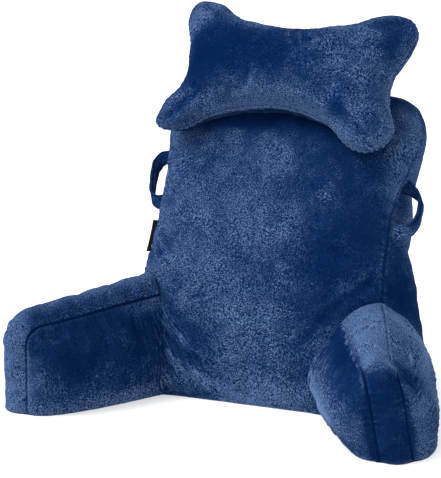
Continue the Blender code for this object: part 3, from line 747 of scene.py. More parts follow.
def arm_points(name, u, v, w):
    """Points of an arm: (v, w) placed in its side view by a Coons patch, and u across it.

    The strip over the top and front has a parabolic crown. Below it both flanks bulge by
    1 - ((w - level)/(1 - level))^1.8, less towards the floor, and by (1 - v^n)^0.55 towards the front.
    """
    arm = ARMS[name]
    length, seams = arm["length"], arm["seams"]
    root, forward, outward = arm_axes(name)
    turn = math.pi / 4.0
    run = length - ARM_BACK
    top_straight, front_straight = run - ARM_CORNER_R, seams[2] - ARM_CORNER_R
    top_length, front_length = (s + ARM_CORNER_R * turn for s in (top_straight, front_straight))
    stations = np.array((0.0, 0.35, 0.85, 1.0))
    heights = np.array((seams[0], seams[1] + 0.012, seams[2] + 0.004, seams[2]))

    def top(t):
        along, drop = rounded_edge(t * top_length, top_straight, ARM_CORNER_R, turn)
        return np.stack([along, through(stations, heights, np.minimum(along, top_straight) / run) - drop], axis=1)

    def front(t):
        height, inset = rounded_edge(t * front_length, front_straight, ARM_CORNER_R, turn)
        return np.stack([run - inset, height], axis=1)

    def bottom(t):
        return np.stack([t * run, t * 0.0], axis=1)

    def back(t):
        return np.stack([t * 0.0, t * heights[0]], axis=1)

    along, height = coons(v, w, bottom, top, back, front).T
    edge = 2.0 * u - 1.0
    outside = edge > 0.0

    def blend(pair, share):
        return pair[0] + (pair[1] - pair[0]) * share

    level = np.where(outside, blend(arm["full"], ease((v - 0.35) / 0.5)), 0.30)
    foot = np.where(outside, arm["foot"][1], arm["foot"][0])
    flank = 1.0 - (np.maximum(w - level, 0.0) / (1.0 - level)) ** 1.8
    flank *= foot + (1.0 - foot) * ease(w / 0.40)
    forwards = ease((v - 0.30) / 0.30)
    bulge = np.where(outside, blend(arm["outer"], forwards), blend(arm["inner"], forwards))
    bulge *= (1.0 - v ** np.where(outside, 5.0, 12.0)) ** 0.55 * (0.6 + 0.4 * ease(v / 0.25))
    across = edge * (blend(arm["strip"], ease((v - 0.4) / 0.5)) + bulge * flank)
    height = height + (u * arm["lift"] - 0.008) * w * (1.0 - ease(v))
    crown = blend((arm["crown"], STRIP_CROWN), ease((v - 0.4) / 0.35)) * (1.0 - edge * edge)
    over, ahead = w == 1.0, v == 1.0
    height = height + crown * np.where(over, np.where(ahead, math.sin(turn), 1.0), 0.0)
    along = along + crown * np.where(ahead, np.where(over, math.cos(turn), 0.8), 0.0)
    across = across + arm["lean"] * (height / seams[2] - 0.3) * ease(v)
    height = np.where(w == 0.0, 0.0, height)
    return root + np.outer(along + ARM_BACK, forward) + np.outer(across, outward) + np.outer(height, (0, 0, 1))


def arm_starts(name, tree):
    """Share along each line (u, w) of an arm's lattice where it last leaves the backrest."""
    nu, _, nw = ARM_CELLS
    steps = np.linspace(0.0, 0.75, 76)
    i, k, step = np.meshgrid(spaced(np.arange(nu + 1), nu), spaced(np.arange(nw + 1), nw), steps, indexing="ij")
    points = arm_points(name, i.ravel(), step.ravel(), k.ravel())
    inside = np.zeros(len(points), dtype=bool)
    for n, point in enumerate(points):
        point = Vector((point[0], point[1], max(point[2], 0.004)))
        nearest, normal, _, _ = tree.find_nearest(point)
        inside[n] = (point - nearest).dot(normal) < CLEAR
    inside = inside.reshape(i.shape)
    last = np.where(inside.any(axis=2), len(steps) - 1 - np.argmax(inside[:, :, ::-1], axis=2), 0)
    start = steps[last]
    for _ in range(2):
        start[1:-1] = 0.25 * start[:-2] + 0.5 * start[1:-1] + 0.25 * start[2:]
        start[:, 1:-1] = 0.25 * start[:, :-2] + 0.5 * start[:, 1:-1] + 0.25 * start[:, 2:]
    return start


def arm_nap_and_shading(name, u, v, w):
    """Tone of an arm, partly its nap and partly painted light and shade: one tone and its patches on each flank, and
    the strip's, which changes at its seams.
    """
    inner = FLANK_NAP_AND_SHADING[name][0] + patches(v, w, INNER_PATCHES[name])
    outer = FLANK_NAP_AND_SHADING[name][1] + patches(v, w, OUTER_PATCHES[name])
    nap_and_shading = inner + (outer - inner) * ease((u - 0.3) / 0.4)
    # the left arm's front strip, which faces the light, is painted lighter than its top
    if name == "arm_left":
        top = 0.06 + 0.24 * ease((u - 0.14) / 0.40) - 0.06 * ease((v - 0.55) / 0.2)
        front = 0.18 + 0.24 * ease((u + 0.4 * (1.0 - w)) / 0.9) + 0.14 * ease((0.85 - w) / 0.5)
    else:
        # the strip's light tone, the painted light of its lit top, runs on raggedly over its inner seam
        wander = noise(np.stack([v * FLANK_LENGTH, w * FLANK_HEIGHT, u], axis=1), 0.008, 201)
        ragged = ease((w - 0.968 + 0.04 * wander) / 0.02) * (u < 0.5)
        nap_and_shading += (0.46 - nap_and_shading) * ragged * ease((0.86 - v) / 0.06) * ease((v - 0.1) / 0.1)
        # the right arm's top is painted light where light falls on it, with painted shade towards its inner edge and
        # its front corner
        shade = 0.10 + 0.32 * ease((v - 0.30) / 0.3)
        top = 0.64 + 0.10 * ease((v - 0.40) / 0.2) - shade * ease((0.20 - u) / 0.2) - 0.12 * ease((u - 0.7) / 0.3)
        top -= 0.44 * ease((v - 0.88) / 0.10)
        # its front strip, turned from the light, is painted dark, and a little lighter at its foot
        front = 0.02 + 0.14 * ease((0.10 - w) / 0.10)
    nap_and_shading += (top - nap_and_shading) * ease((w - 0.975) / 0.02)
    return nap_and_shading + (front - nap_and_shading) * ease((v - 0.985) / 0.012)


def arm_comb(name, u, v, w, joint, points):
    """Combed nap of an arm's flanks: inside in rows beside the joint, outside in rows along the arm.

    The inner rows lean forwards on the way up, and fade as exp(-(joint/reach)^2) away from the joint.
    """
    lean, reach, scale = ARM_CLOTH[name]["rows"]
    rise = FLANK_HEIGHT * w
    across = scale * (joint - lean * w)
    inner = np.stack([across, rise, 0.9 * np.exp(-((joint / (reach + 0.9 * lean * w)) ** 2))], axis=1)
    weight = (0.4 + 1.1 * noise(points, 0.035, 181)) * (ease((v - 0.15) / 0.3) if name == "arm_right" else 0.3)
    across = 0.3 * (rise + 0.006 * noise(points, 0.05, 191))
    outer = np.stack([across, 0.12 * v, np.clip(weight, 0.0, 0.9)], axis=1)
    return np.where((u < 0.5)[:, None], inner, outer)


def build_arm(name, backrest):
    """An arm's cover, drawn in towards the backrest in rings exp(-joint/fade) sin(2 pi joint/pitch + noise)."""
    shape, cloth = bpy.context.scene.pillow_shape, ARM_CLOTH[name]
    tree = tree_of(backrest)
    shares, rows, index, quads = box_lattice(ARM_CELLS)
    start = arm_starts(name, tree)[rows[:, 0], rows[:, 2]]
    flat = np.stack([shares[:, 0], start + (1.0 - start) * shares[:, 1], shares[:, 2]], axis=1)
    points = arm_points(name, *flat.T)
    back = rows[:, 1] == 0
    points[back] = push_clear(points[back], tree)
    held = (rows[:, 1] <= 1) | (rows[:, 2] == 0)
    stored = {"share": shares, "flat": flat}
    piece = sew(name + "_cover", points, quads, box_seams(index), held, cap=cloth["cap"], crease=0.55, stored=stored)
    points = read_points(piece.data)
    joint, base = get_attribute(piece.data, "share").T[1:]
    u, v, w = get_attribute(piece.data, "flat").T
    seams = [index[0, :, -1], index[-1, :, -1], index[0, -1, :], index[-1, -1, :]]
    seams = [points[line] for line in (*seams, index[0, :, 0], index[-1, :, 0], index[:, -1, 0])]
    groove, gather = 0.8 * shape.groove, shape.gather * cloth["gather"]
    offset, beside = seam_offset(points, seams, groove, gather, wave=0.0105, reach=0.016, seed=111, shown=0.8)
    if name == "arm_right":
        # its strip's nap covers the inner seam
        covered = ease((0.5 - u) / 0.4) * ease((w - 0.8) / 0.1) * ease((0.88 - v) / 0.06)
        offset *= 1.0 - 0.75 * covered
        beside[:, 2] *= 1.0 - 0.9 * covered
    # the flanks draw in towards the backrest in rings
    flank = ease((0.92 - w) / 0.1) * ease((0.97 - v) / 0.05)
    pitch, depth, fade, ring_highlight = cloth["rings"]
    rings = np.sin(2.0 * math.pi * JOINT_LENGTH * joint / pitch + 2.0 * noise(points, 0.05, 131))
    offset += depth * rings * np.exp(-joint / fade) * flank * shape.fold
    fans = fan_field(v * FLANK_LENGTH, w * FLANK_HEIGHT, ARM_FANS[name])
    offset += flank * shape.fold * fan_offset(fans, 46.0, depth=0.0008, seed=141)
    if name == "arm_right":
        # the outer flank has puckers along the arm, 10 mm apart
        puckers = np.sin(2.0 * math.pi * FLANK_HEIGHT * w / 0.010 + 2.5 * noise(points, 0.04, 145))
        offset += 0.0006 * shape.fold * flank * (u > 0.5) * puckers
    strip = ease((w - 0.97) / 0.03)
    offset += strip * shape.fold * cloth["strip_fold"] * fold_offset(u, v, STRIP_FOLDS)
    if name == "arm_left":
        # the strip is crowned on top, and half as much at the front's upper end
        over_top = strip * (1.0 - 0.5 * ease((v - 0.85) / 0.15))
        in_front = 0.5 * ease((v - 0.97) / 0.03) * ease((w - 0.5) / 0.4)
        offset += 0.0070 * np.maximum(over_top, in_front) * (4.0 * u * (1.0 - u)) ** 0.6
    offset += filling_offset(points, 0.7, broad=0.080, fine=0.024, crease=0.014, seed=151)
    offset *= ease(joint / 0.02) * np.where(base < 0.02, BASE_SHARE, 1.0)
    displace(piece, offset)
    settle(piece, push_clear(read_points(piece.data), tree))
    points = read_points(piece.data)
    root, forward, outward = arm_axes(name)
    laid = (points - root) @ np.stack([forward, outward, (0.0, 0.0, 1.0)], axis=1)
    comb = flank[:, None] * arm_comb(name, u, v, w, joint * JOINT_LENGTH, points)
    # the arm's tone, with a painted highlight on the rings' ridges
    nap_and_shading = arm_nap_and_shading(name, u, v, w) + ring_highlight * np.maximum(rings, 0.0) * np.exp(-joint / (0.7 * fade)) * flank
    finish_cloth(piece, offset, name, nap_and_shading, beside, laid, comb)


# ------------------------ the neck pillow

def neck_edges():
    """The outline as a Catmull-Rom curve through its table, split at the lobe tips, by share of length."""
    outline, tips = NECK_OUTLINE[:, :2], np.flatnonzero(NECK_OUTLINE[:, 2])
    count = len(outline)

    def edge(first, last):
        position = np.linspace(first, last if last > first else last + count, 97)
        i = np.floor(position).astype(int)
        t = (position - i)[:, None]
        before, start, end, after = (outline[(i + k) % count] for k in (-1, 0, 1, 2))
        path = 0.5 * (
            2.0 * start
            + (end - before) * t
            + (2.0 * before - 5.0 * start + 4.0 * end - after) * t**2
            + (3.0 * start - before - 3.0 * end + after) * t**3
        )
        lengths = lengths_along(path)
        return lambda s: on_line(path, lengths / lengths[-1], s)

    left, top, right, bottom = (edge(tips[n], tips[(n + 1) % 4]) for n in range(4))
    return (lambda s: bottom(1.0 - s)), top, left, (lambda s: right(1.0 - s))


def neck_axes():
    """The neck pillow's across, up and front directions, turned by its roll about the last."""
    up = np.array((0.0, math.sin(NECK_LEAN), math.cos(NECK_LEAN)))
    front = np.array((0.0, -math.cos(NECK_LEAN), math.sin(NECK_LEAN)))
    across = np.array((1.0, 0.0, 0.0))
    cos, sin = math.cos(NECK_ROLL), math.sin(NECK_ROLL)
    return across * cos - np.cross(front, across) * sin, up * cos - np.cross(front, up) * sin, front


def neck_points(shares):
    """Points of the neck pillow: a Coons patch of its outline, puffed by thick * fill^0.4 to both sides.

    The fill is (1 - (2u - 1)^2)(1 - (2w - 1)^2).
    """
    u, w, sheet = shares.T
    flat = coons(u, w, *neck_edges())
    fill = np.maximum(0.0, (1.0 - (2.0 * u - 1.0) ** 2) * (1.0 - (2.0 * w - 1.0) ** 2))
    across, up, front = neck_axes()
    points = NECK_CENTRE + np.outer(flat[:, 0], across) + np.outer(flat[:, 1], up)
    return points + np.outer(sheet * NECK_THICK * fill**0.40, front), flat


def build_neck_pillow(backrest):
    """The neck pillow's cover, which follows the backrest where it lies on it."""
    shape = bpy.context.scene.pillow_shape
    shares, grid, quads = two_sheet_lattice(*NECK_CELLS)
    points, flat = neck_points(shares)
    tree = tree_of(backrest)
    across, up, front = neck_axes()
    settled = push_along(points, tree, front)
    touching = (settled != points).any(axis=1)
    seam = rim_of(grid)
    stored = {"flat": np.column_stack([flat, shares[:, 2]]), "contact": touching}
    piece = sew("neck_pillow_cover", settled, quads, [seam], touching, cap=0.003, crease=0.35, stored=stored)
    points = read_points(piece.data)
    a, b, sheet = get_attribute(piece.data, "flat").T
    seams, gather = [points[seam]], shape.gather * 1.1
    offset, beside = seam_offset(points, seams, shape.groove, gather, wave=0.0120, reach=0.014, seed=211, shown=1.0)
    on_front = ease((sheet - 0.2) / 0.6)
    fans = fan_field(a, b, NECK_FANS)
    offset += on_front * shape.fold * (fold_offset(a, b, NECK_FOLDS) + fan_offset(fans, 26.0, depth=0.0010, seed=221))
    offset += (1.0 - on_front) * shape.fold * fan_offset(fans, 22.0, depth=0.0014, seed=231)
    offset += filling_offset(points, 0.7, broad=0.090, fine=0.026, crease=0.015, seed=241)
    displace(piece, offset * ease(1.0 - get_attribute(piece.data, "contact")))
    write_points(piece.data, push_clear(read_points(piece.data), tree))
    nap_and_shading = 0.30 + patches(a, b, NECK_PATCHES)
    # a painted sheen along the seam round the outline
    nap_and_shading += 0.20 * np.exp(-((beside[:, 0] / 0.010) ** 2))
    # painted shade on the rear sheet below the lower seam
    under = 0.30 - 0.34 * ease((0.02 - b) / 0.04) * np.exp(-((beside[:, 0] / 0.025) ** 2))
    nap_and_shading += (under - nap_and_shading) * (1.0 - ease((sheet + 0.1) / 0.2))
    laid = (points - NECK_CENTRE) @ np.stack([across, front, up], axis=1)
    finish_cloth(piece, offset, "neck_pillow", nap_and_shading, beside, laid, fan_comb(fans))


# ------------------------ the carry loops and the tag

def side_points(side, rise, outward, inward):
    """Points beside the backrest's front seam, outward square with the side and back along its depth."""
    y, z, lean = back_front(rise)
    points = np.stack([side * (back_section(rise)[0] + outward), y, z], axis=1)
    return points + np.stack([y * 0.0, np.cos(lean), -np.sin(lean)], axis=1) * inward[:, None]


def loop_path(name, t):
    """A loop's centreline: half a turn whose rise goes as cos^0.8 and whose reach goes as sin^0.62.

    The right loop's reach grows more slowly above its middle, where the power rises to 1.1.
    """
    side, low, high, reach = LOOPS[name]
    angle = math.pi * t
    cosine, sine = np.cos(angle), np.maximum(np.sin(angle), 0.0)
    rise = 0.5 * (low + high) - 0.5 * (high - low) * np.copysign(np.abs(cosine) ** 0.8, cosine)
    power = 0.62 + 0.48 * ease((t - 0.4) / 0.4) * (side > 0)
    return side_points(side, rise, reach * sine**power - 0.006, 0.012 + 0.018 * sine)


def unit(vectors):
    """Vectors scaled to length 1."""
    return vectors / np.linalg.norm(vectors, axis=1, keepdims=True)


def strap_faces(rings, around):
    """The quads between closed rings of points, and a face over each end."""
    index = np.arange(rings * around).reshape(rings, around)
    quads = grid_quads(np.column_stack([index, index[:, 0]]))
    return [*quads[:, [0, 3, 2, 1]].tolist(), index[0, ::-1].tolist(), index[-1].tolist()]


def build_loop(name, backrest):
    """A strap swept along the loop's path, turned by 180 (0.5 + 0.5 |2t - 1|^1.6) degrees from end to end.

    The power keeps the sign of 2t - 1. The section is a superellipse, thinned along two rows of stitching
    3 mm inside its edges.
    """
    side, low, high, _ = LOOPS[name]
    t = np.linspace(0.0, 1.0, 97)
    lean = back_front(np.array([0.5 * (low + high)]))[2][0]
    depth = np.array((0.0, math.cos(lean), -math.sin(lean)))
    centre = loop_path(name, t)
    ahead = unit(loop_path(name, np.minimum(t + 0.01, 1.0)) - loop_path(name, np.maximum(t - 0.01, 0.0)))
    turn = 2.0 * t - 1.0
    twist = (-side * 0.5 * math.pi * (1.0 + np.copysign(np.abs(turn) ** 1.6, turn)))[:, None]
    wide = unit(np.cross(ahead, depth)) * np.cos(twist) + depth * np.sin(twist)
    thin = unit(np.cross(ahead, wide))
    around = 36
    angle = np.arange(around) * 2.0 * math.pi / around
    x = np.copysign(np.abs(np.cos(angle)) ** 0.45, np.cos(angle))
    y = np.copysign(np.abs(np.sin(angle)) ** 0.62, np.sin(angle))
    y = y * (1.0 - 0.35 * np.exp(-(((np.abs(x) - STITCHES) / 0.07) ** 2)))
    rucks = 1.0 + 0.10 * np.sin(t * 61.0 + 3.0 * side) * np.sin(t * 23.0)
    narrowed = 1.0 - 0.12 * np.sin(math.pi * t) + 0.04 * np.sin(t * 37.0)
    across = (LOOP_WIDTH / 2.0) * np.outer(narrowed, x)
    through_it = (0.5 * LOOP_THICK) * np.outer(rucks * (1.0 + 0.4 * np.sin(math.pi * t)), y)
    points = centre[:, None] + wide[:, None] * across[..., None] + thin[:, None] * through_it[..., None]
    points = points.reshape(-1, 3)
    points += unit(points - np.repeat(centre, around, axis=0)) * (noise(points, 0.006, 311 + side) * 0.0003)[:, None]
    points = push_clear(points, tree_of(backrest))
    piece = new_piece(name + "_strap", points, strap_faces(len(t), around))
    # a painted highlight along a ridge of the strand, and painted light where the right loop's foot faces forwards
    level = 0.10 if side < 0 else 0.08 + 0.26 * ease((0.35 - t) / 0.2)
    ridge_highlight = (0.30 if side < 0 else 0.50) * np.exp(-(((t - 0.5) / 0.22) ** 2))
    nap_and_shading = np.repeat(level + 0.0 * t, around) + np.outer(ridge_highlight, np.exp(-(((x + 0.35) / 0.30) ** 2))).ravel()
    hem = np.abs(np.abs(np.tile(x, len(t))) - STITCHES) * LOOP_WIDTH / 2.0
    beside = np.stack([hem, nap_and_shading * 0.0, nap_and_shading * 0.0 + 0.7], axis=1)
    finish_cloth(piece, nap_and_shading * 0.0, name, nap_and_shading, beside, points, points * 0.0)


def build_tag(backrest):
    """A folded woven tag: a thin slab whose outer edge is the fold, bowed back by the sine of its height."""
    nu, nw = 10, 30
    u, w = (grid.ravel() for grid in np.meshgrid(np.linspace(0, 1, nu), np.linspace(0, 1, nw), indexing="ij"))
    outward = u * (TAG_REACH + TAG_SEWN_IN) - TAG_SEWN_IN
    bow = 0.0012 * np.sin(math.pi * w) * u
    rise = TAG_RISE + (w - 0.5) * TAG_HEIGHT
    halves = 0.5 * TAG_THICK * (1.0 - 0.75 * u**6)
    sheets = [side_points(-1, rise, outward, TAG_SEWN_IN + bow + sign * halves) for sign in (-1.0, 1.0)]
    index = np.arange(nu * nw).reshape(nu, nw)
    quads, rim, other = grid_quads(index), rim_of(index), index.size
    wall = np.stack([rim[1:], rim[:-1], rim[:-1] + other, rim[1:] + other], axis=1)
    points = push_clear(np.concatenate(sheets), tree_of(backrest))
    piece = new_piece("side_tag_cloth", points, np.concatenate([quads, quads[:, ::-1] + other, wall]))
    tie(piece, "side_tag", woven_material())


def tie(piece, node, material):
    """Gives a piece its material and ties it to the node that it stands for."""
    piece.data.materials.append(material)
    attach(piece, "root")
    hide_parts(node)


def finish_cloth(piece, offset, node, nap_and_shading, beside, laid, comb):
    """Stores a velour piece's tone (its nap, and painted light and shade), its creases (which paint shade and
    highlights), seams, lie and combing, and ties it to its node.
    """
    nap_and_shading = nap_and_shading + 0.05 * turbulence(read_points(piece.data), 0.080, 401)
    stored = {"nap_and_shading": nap_and_shading, "crease": np.clip(offset / 0.002, -1.0, 1.0), "seam": beside, "laid": laid, "comb": comb}
    for key, values in stored.items():
        set_attribute(piece.data, key, values)
    tie(piece, node, velour_material())


# ------------------------ materials

def node_tools(material):
    """Clears a material's tree, and returns a function that adds nodes and links, and the shader node."""
    material.use_nodes = True
    tree = material.node_tree
    tree.nodes.clear()
    output = tree.nodes.new("ShaderNodeOutputMaterial")
    shader = tree.nodes.new("ShaderNodeBsdfPrincipled")
    tree.links.new(shader.outputs["BSDF"], output.inputs["Surface"])

    def add(kind, inputs=None, **settings):
        node = tree.nodes.new("ShaderNode" + kind)
        for key, value in settings.items():
            setattr(node, key, value)
        for key, value in (inputs or {}).items():
            if isinstance(value, bpy.types.NodeSocket):
                tree.links.new(value, node.inputs[key])
            else:
                node.inputs[key].default_value = value
        return node

    def link(value, socket):
        tree.links.new(value, shader.inputs[socket])

    return add, link, shader


def velour_material():
    """Crushed velour: fine speckle of laid nap along two diagonals, stronger where the painted tone is light."""
    made = bpy.data.materials.get("navy velour")
    if made:
        return made
    made = bpy.data.materials.new("navy velour")
    cloth = bpy.context.scene.pillow_velour
    add, link, shader = node_tools(made)

    def calc(operation, a, b=0.0, c=0.0, clamp=False):
        return add("Math", {0: a, 1: b, 2: c}, operation=operation, use_clamp=clamp).outputs[0]

    def vector(operation, a, b):
        return add("VectorMath", {0: a, 1: b}, operation=operation).outputs[0]

    def remap(value, low, high, start, end):
        inputs = {"Value": value, "From Min": low, "From Max": high, "To Min": start, "To Max": end}
        return add("MapRange", inputs).outputs[0]

    def mix(share, a, b):
        return add("Mix", {"Factor": share, "A": a, "B": b}, data_type="FLOAT").outputs[0]

    def grain(place, scale, detail=2.0, roughness=0.5, output="Fac"):
        inputs = {"Vector": place, "Scale": scale, "Detail": detail, "Roughness": roughness}
        return add("TexNoise", inputs).outputs[output]

    place = add("TexCoord").outputs["Object"]
    nap_and_shading, crease = (add("Attribute", attribute_name=name).outputs["Fac"] for name in ("nap_and_shading", "crease"))
    lying, comb, seam = (add("Attribute", attribute_name=name).outputs["Vector"] for name in ("laid", "comb", "seam"))

    # the nap's headings wander, so the streaks bend
    drift = vector("SUBTRACT", grain(place, 14.0, 1.0, output="Color"), (0.5, 0.5, 0.5))
    bent = vector("ADD", lying, vector("MULTIPLY", drift, (0.020, 0.020, 0.020)))
    streaks = []
    for turn, width in ((0.85, 1.0), (-0.70, 1.1)):
        inputs = {"Vector": bent, "Rotation": (0.0, turn, 0.0), "Scale": (1.0, 1.0, cloth.streak_length)}
        laid = add("Mapping", inputs, vector_type="TEXTURE").outputs[0]
        streaks.append(grain(laid, 1.0 / (cloth.streak_width * width), 0.0))
    streak = mix(remap(grain(place, 24.0, 1.0), 0.38, 0.62, 0.0, 1.0), *streaks)
    fibre = grain(place, 900.0, 0.0)
    speckle = calc("ADD", calc("MULTIPLY_ADD", streak, 2.0, -1.0), calc("MULTIPLY_ADD", fibre, 0.3, -0.15))
    # where the nap is combed, its streaks follow the combing
    combed = grain(vector("MULTIPLY", comb, (1.0, 0.03, 0.0)), 0.8 / cloth.streak_width, 2.0, 0.8)
    combed = mix(0.35, calc("MULTIPLY_ADD", combed, 2.6, -1.3), speckle)
    tended = add("SeparateXYZ", {0: comb}).outputs["Z"]
    speckle = mix(tended, speckle, combed)
    speckle = calc("MINIMUM", speckle, calc("MULTIPLY", speckle, 0.75))

    # level = tone + patches (patch - 0.5) + 0.16 crease, which paints shade into the creases' valleys and highlights
    # on their ridges, and the speckle's strength rises and falls with it
    patch = grain(bent, 38.0, 3.0, 0.62)
    level = calc("MULTIPLY_ADD", patch, cloth.patches, calc("ADD", nap_and_shading, -0.5 * cloth.patches))
    level = calc("MULTIPLY_ADD", crease, 0.16, level)
    strength = calc("MULTIPLY", remap(level, 0.05, 0.45, 0.25, 1.0), remap(grain(bent, 34.0), 0.36, 0.60, 0.75, 1.0))
    strength = calc("MAXIMUM", strength, calc("MULTIPLY", tended, 0.60))
    calm = remap(level, 0.48, 0.68, 1.0, 0.40)
    strength = calc("MULTIPLY", strength, calc("MULTIPLY", calm, cloth.speckle))
    value = calc("MULTIPLY_ADD", speckle, strength, level)

    # a dark line in each seam, and a painted highlight on the lip beside it
    seam = add("SeparateXYZ", {0: seam}).outputs
    lip_highlight = calc("MULTIPLY", calc("ABSOLUTE", calc("SUBTRACT", seam["X"], 0.0036)), 800.0)
    lip_highlight = calc("SUBTRACT", 1.0, lip_highlight, clamp=True)
    value = calc("MULTIPLY_ADD", calc("MULTIPLY", lip_highlight, seam["Z"]), 0.18, value)
    line = remap(seam["X"], 0.0007, 0.0019, 1.0, 0.0)
    value = calc("MULTIPLY_ADD", calc("MULTIPLY", line, seam["Z"]), -0.30, value)

    ramp = add("ValToRGB", {"Fac": value})
    stops = ramp.color_ramp.elements
    stops.new(0.40)
    for stop, colour in zip(stops, (cloth.dark, cloth.middle, cloth.light)):
        stop.color = (*colour, 1.0)
    link(ramp.outputs["Color"], "Base Color")
    link(remap(value, 0.0, 1.0, 0.95, 0.75), "Roughness")
    height = calc("ADD", streak, calc("MULTIPLY", fibre, 0.35))
    link(add("Bump", {"Height": height, "Strength": 0.30, "Distance": 0.0016}).outputs["Normal"], "Normal")
    shader.inputs["Specular IOR Level"].default_value = 0.0
    shader.inputs["Sheen Weight"].default_value = cloth.sheen
    shader.inputs["Sheen Roughness"].default_value = 0.35
    shader.inputs["Sheen Tint"].default_value = (0.42, 0.62, 0.95, 1.0)
    return made


def woven_material():
    """Black woven tape: fine threads across and along, and faint clouding."""
    made = bpy.data.materials.new("black woven tape")
    add, link, shader = node_tools(made)
    place = add("TexCoord").outputs["Object"]
    across = add("TexWave", {"Vector": place, "Scale": 420.0, "Distortion": 0.6}, bands_direction="Z").outputs["Fac"]
    along = add("TexWave", {"Vector": place, "Scale": 300.0, "Distortion": 0.6}, bands_direction="X").outputs["Fac"]
    weave = add("Math", {0: across, 1: along}, operation="MULTIPLY").outputs[0]
    cloud = add("TexNoise", {"Vector": place, "Scale": 120.0, "Detail": 3.0}).outputs["Fac"]
    value = add("Math", {0: weave, 1: 0.5, 2: cloud}, operation="MULTIPLY_ADD").outputs[0]
    ramp = add("ValToRGB", {"Fac": value})
    stops = ramp.color_ramp.elements
    stops[0].position, stops[0].color = 0.2, (0.0008, 0.0008, 0.0012, 1.0)
    stops[1].position, stops[1].color = 1.2 / 1.5, (0.007, 0.007, 0.009, 1.0)
    link(ramp.outputs["Color"], "Base Color")
    link(add("Bump", {"Height": value, "Strength": 0.4, "Distance": 0.0004}).outputs["Normal"], "Normal")
    shader.inputs["Roughness"].default_value = 0.95
    shader.inputs["Specular IOR Level"].default_value = 0.03
    return made


def floor_material():
    """A pale floor that glows a little, so that shadows on it stay faint."""
    made = bpy.data.materials.new("pale floor")
    _, _, shader = node_tools(made)
    shader.inputs["Base Color"].default_value = (0.68, 0.68, 0.68, 1.0)
    shader.inputs["Emission Color"].default_value = (1.0, 1.0, 1.0, 1.0)
    shader.inputs["Emission Strength"].default_value = 0.42
    shader.inputs["Roughness"].default_value = 0.9
    shader.inputs["Specular IOR Level"].default_value = 0.1
    return made


# ------------------------ settings, operators and panel

def metres(name, description, default):
    """A setting in metres."""
    return FloatProperty(name=name, description=description, default=default, subtype="DISTANCE", unit="LENGTH")


def factor(name, description, default):
    """A setting from 0 to 1."""
    return FloatProperty(name=name, description=description, default=default, subtype="FACTOR", min=0.0, max=1.0)


def amount(name, description, default, low, high):
    """A setting without a unit."""
    return FloatProperty(name=name, description=description, default=default, min=low, max=high)


def tint(name, description, default):
    """A setting that is a colour."""
    return FloatVectorProperty(name=name, description=description, default=default, subtype="COLOR")


class PillowCloth(bpy.types.PropertyGroup):
    """How the covers are simulated."""

    pressure: amount("Pressure", "Pressure that stands in for the filling", 4.0, 0.0, 20.0)
    slack: factor("Slack", "Share by which the cover is cut larger", 0.05)
    bending: amount("Bending", "Stiffness of the cloth against bending", 0.4, 0.01, 10.0)
    hold: factor("Hold", "Share of the broad swelling that is taken back", 0.8)
    frames: IntProperty(name="Frames", description="Length of each simulation", default=20, min=2, max=60)


class PillowShape(bpy.types.PropertyGroup):
    """Depths of the details on the covers."""

    groove: metres("Seam groove", "Depth of the seams", 0.0024)
    gather: metres("Gathers", "Height of the puckers by a seam", 0.0013)
    fold: amount("Folds", "Strength of the folds and pleats", 1.0, 0.0, 3.0)
    lump: metres("Lumps", "Height of the filling's lumps", 0.0020)
    crinkle: metres("Crinkles", "Depth of the small creases", 0.0009)


class PillowVelour(bpy.types.PropertyGroup):
    """Colour and nap of the velour."""

    # The ramp runs from dark to light over the tone, so these colours also make its painted shade and painted
    # highlights
    dark: tint("Dark", "Nap that leans away", (0.0009, 0.0100, 0.0500))
    middle: tint("Middle", "Upright nap", (0.0130, 0.0380, 0.1100))
    light: tint("Light", "Nap that catches the light", (0.105, 0.175, 0.330))
    patches: factor("Patches", "Contrast of the soft patches", 0.11)
    speckle: amount("Speckle", "Contrast of the fine nap", 3.9, 0.0, 6.0)
    sheen: factor("Sheen", "Brightness of the grazing edges", 0.02)
    streak_width: metres("Streak width", "Width of a streak of laid nap", 0.0008)
    streak_length: amount("Streak length", "Length of a streak over its width", 6.0, 1.0, 10.0)


class PillowStudio(bpy.types.PropertyGroup):
    """Light around the pillow."""

    key: amount("Key light", "Wide soft light above, to the left", 2.6, 0.0, 20.0)
    spread: FloatProperty(
        name="Spread", description="How wide the key light is", default=math.radians(36.0), subtype="ANGLE"
    )
    sky: amount("Sky", "Strength of the even light", 1.0, 0.0, 3.0)


class PILLOW_OT_backrest(bpy.types.Operator):
    """Build the reclined backrest"""

    bl_idname = "pillow.backrest"
    bl_label = "Backrest"

    def execute(self, context):
        build_backrest()
        return {"FINISHED"}


class PILLOW_OT_arms(bpy.types.Operator):
    """Build both arm rests against the backrest"""

    bl_idname = "pillow.arms"
    bl_label = "Arm rests"

    def execute(self, context):
        for name in ARMS:
            build_arm(name, bpy.data.objects["backrest_cover"])
        return {"FINISHED"}


class PILLOW_OT_neck_pillow(bpy.types.Operator):
    """Build the butterfly neck pillow against the backrest"""

    bl_idname = "pillow.neck_pillow"
    bl_label = "Neck pillow"

    def execute(self, context):
        build_neck_pillow(bpy.data.objects["backrest_cover"])
        return {"FINISHED"}


class PILLOW_OT_loops(bpy.types.Operator):
    """Build the two carry loops"""

    bl_idname = "pillow.loops"
    bl_label = "Carry loops"

    def execute(self, context):
        for name in LOOPS:
            build_loop(name, bpy.data.objects["backrest_cover"])
        return {"FINISHED"}


class PILLOW_OT_tag(bpy.types.Operator):
    """Build the plain tag in the left seam"""

    bl_idname = "pillow.tag"
    bl_label = "Side tag"

    def execute(self, context):
        build_tag(bpy.data.objects["backrest_cover"])
        return {"FINISHED"}


class PILLOW_OT_studio(bpy.types.Operator):
    """Build the floor, the lights and the camera"""

    bl_idname = "pillow.studio"
    bl_label = "Studio"

    def execute(self, context):
        build_studio()
        return {"FINISHED"}


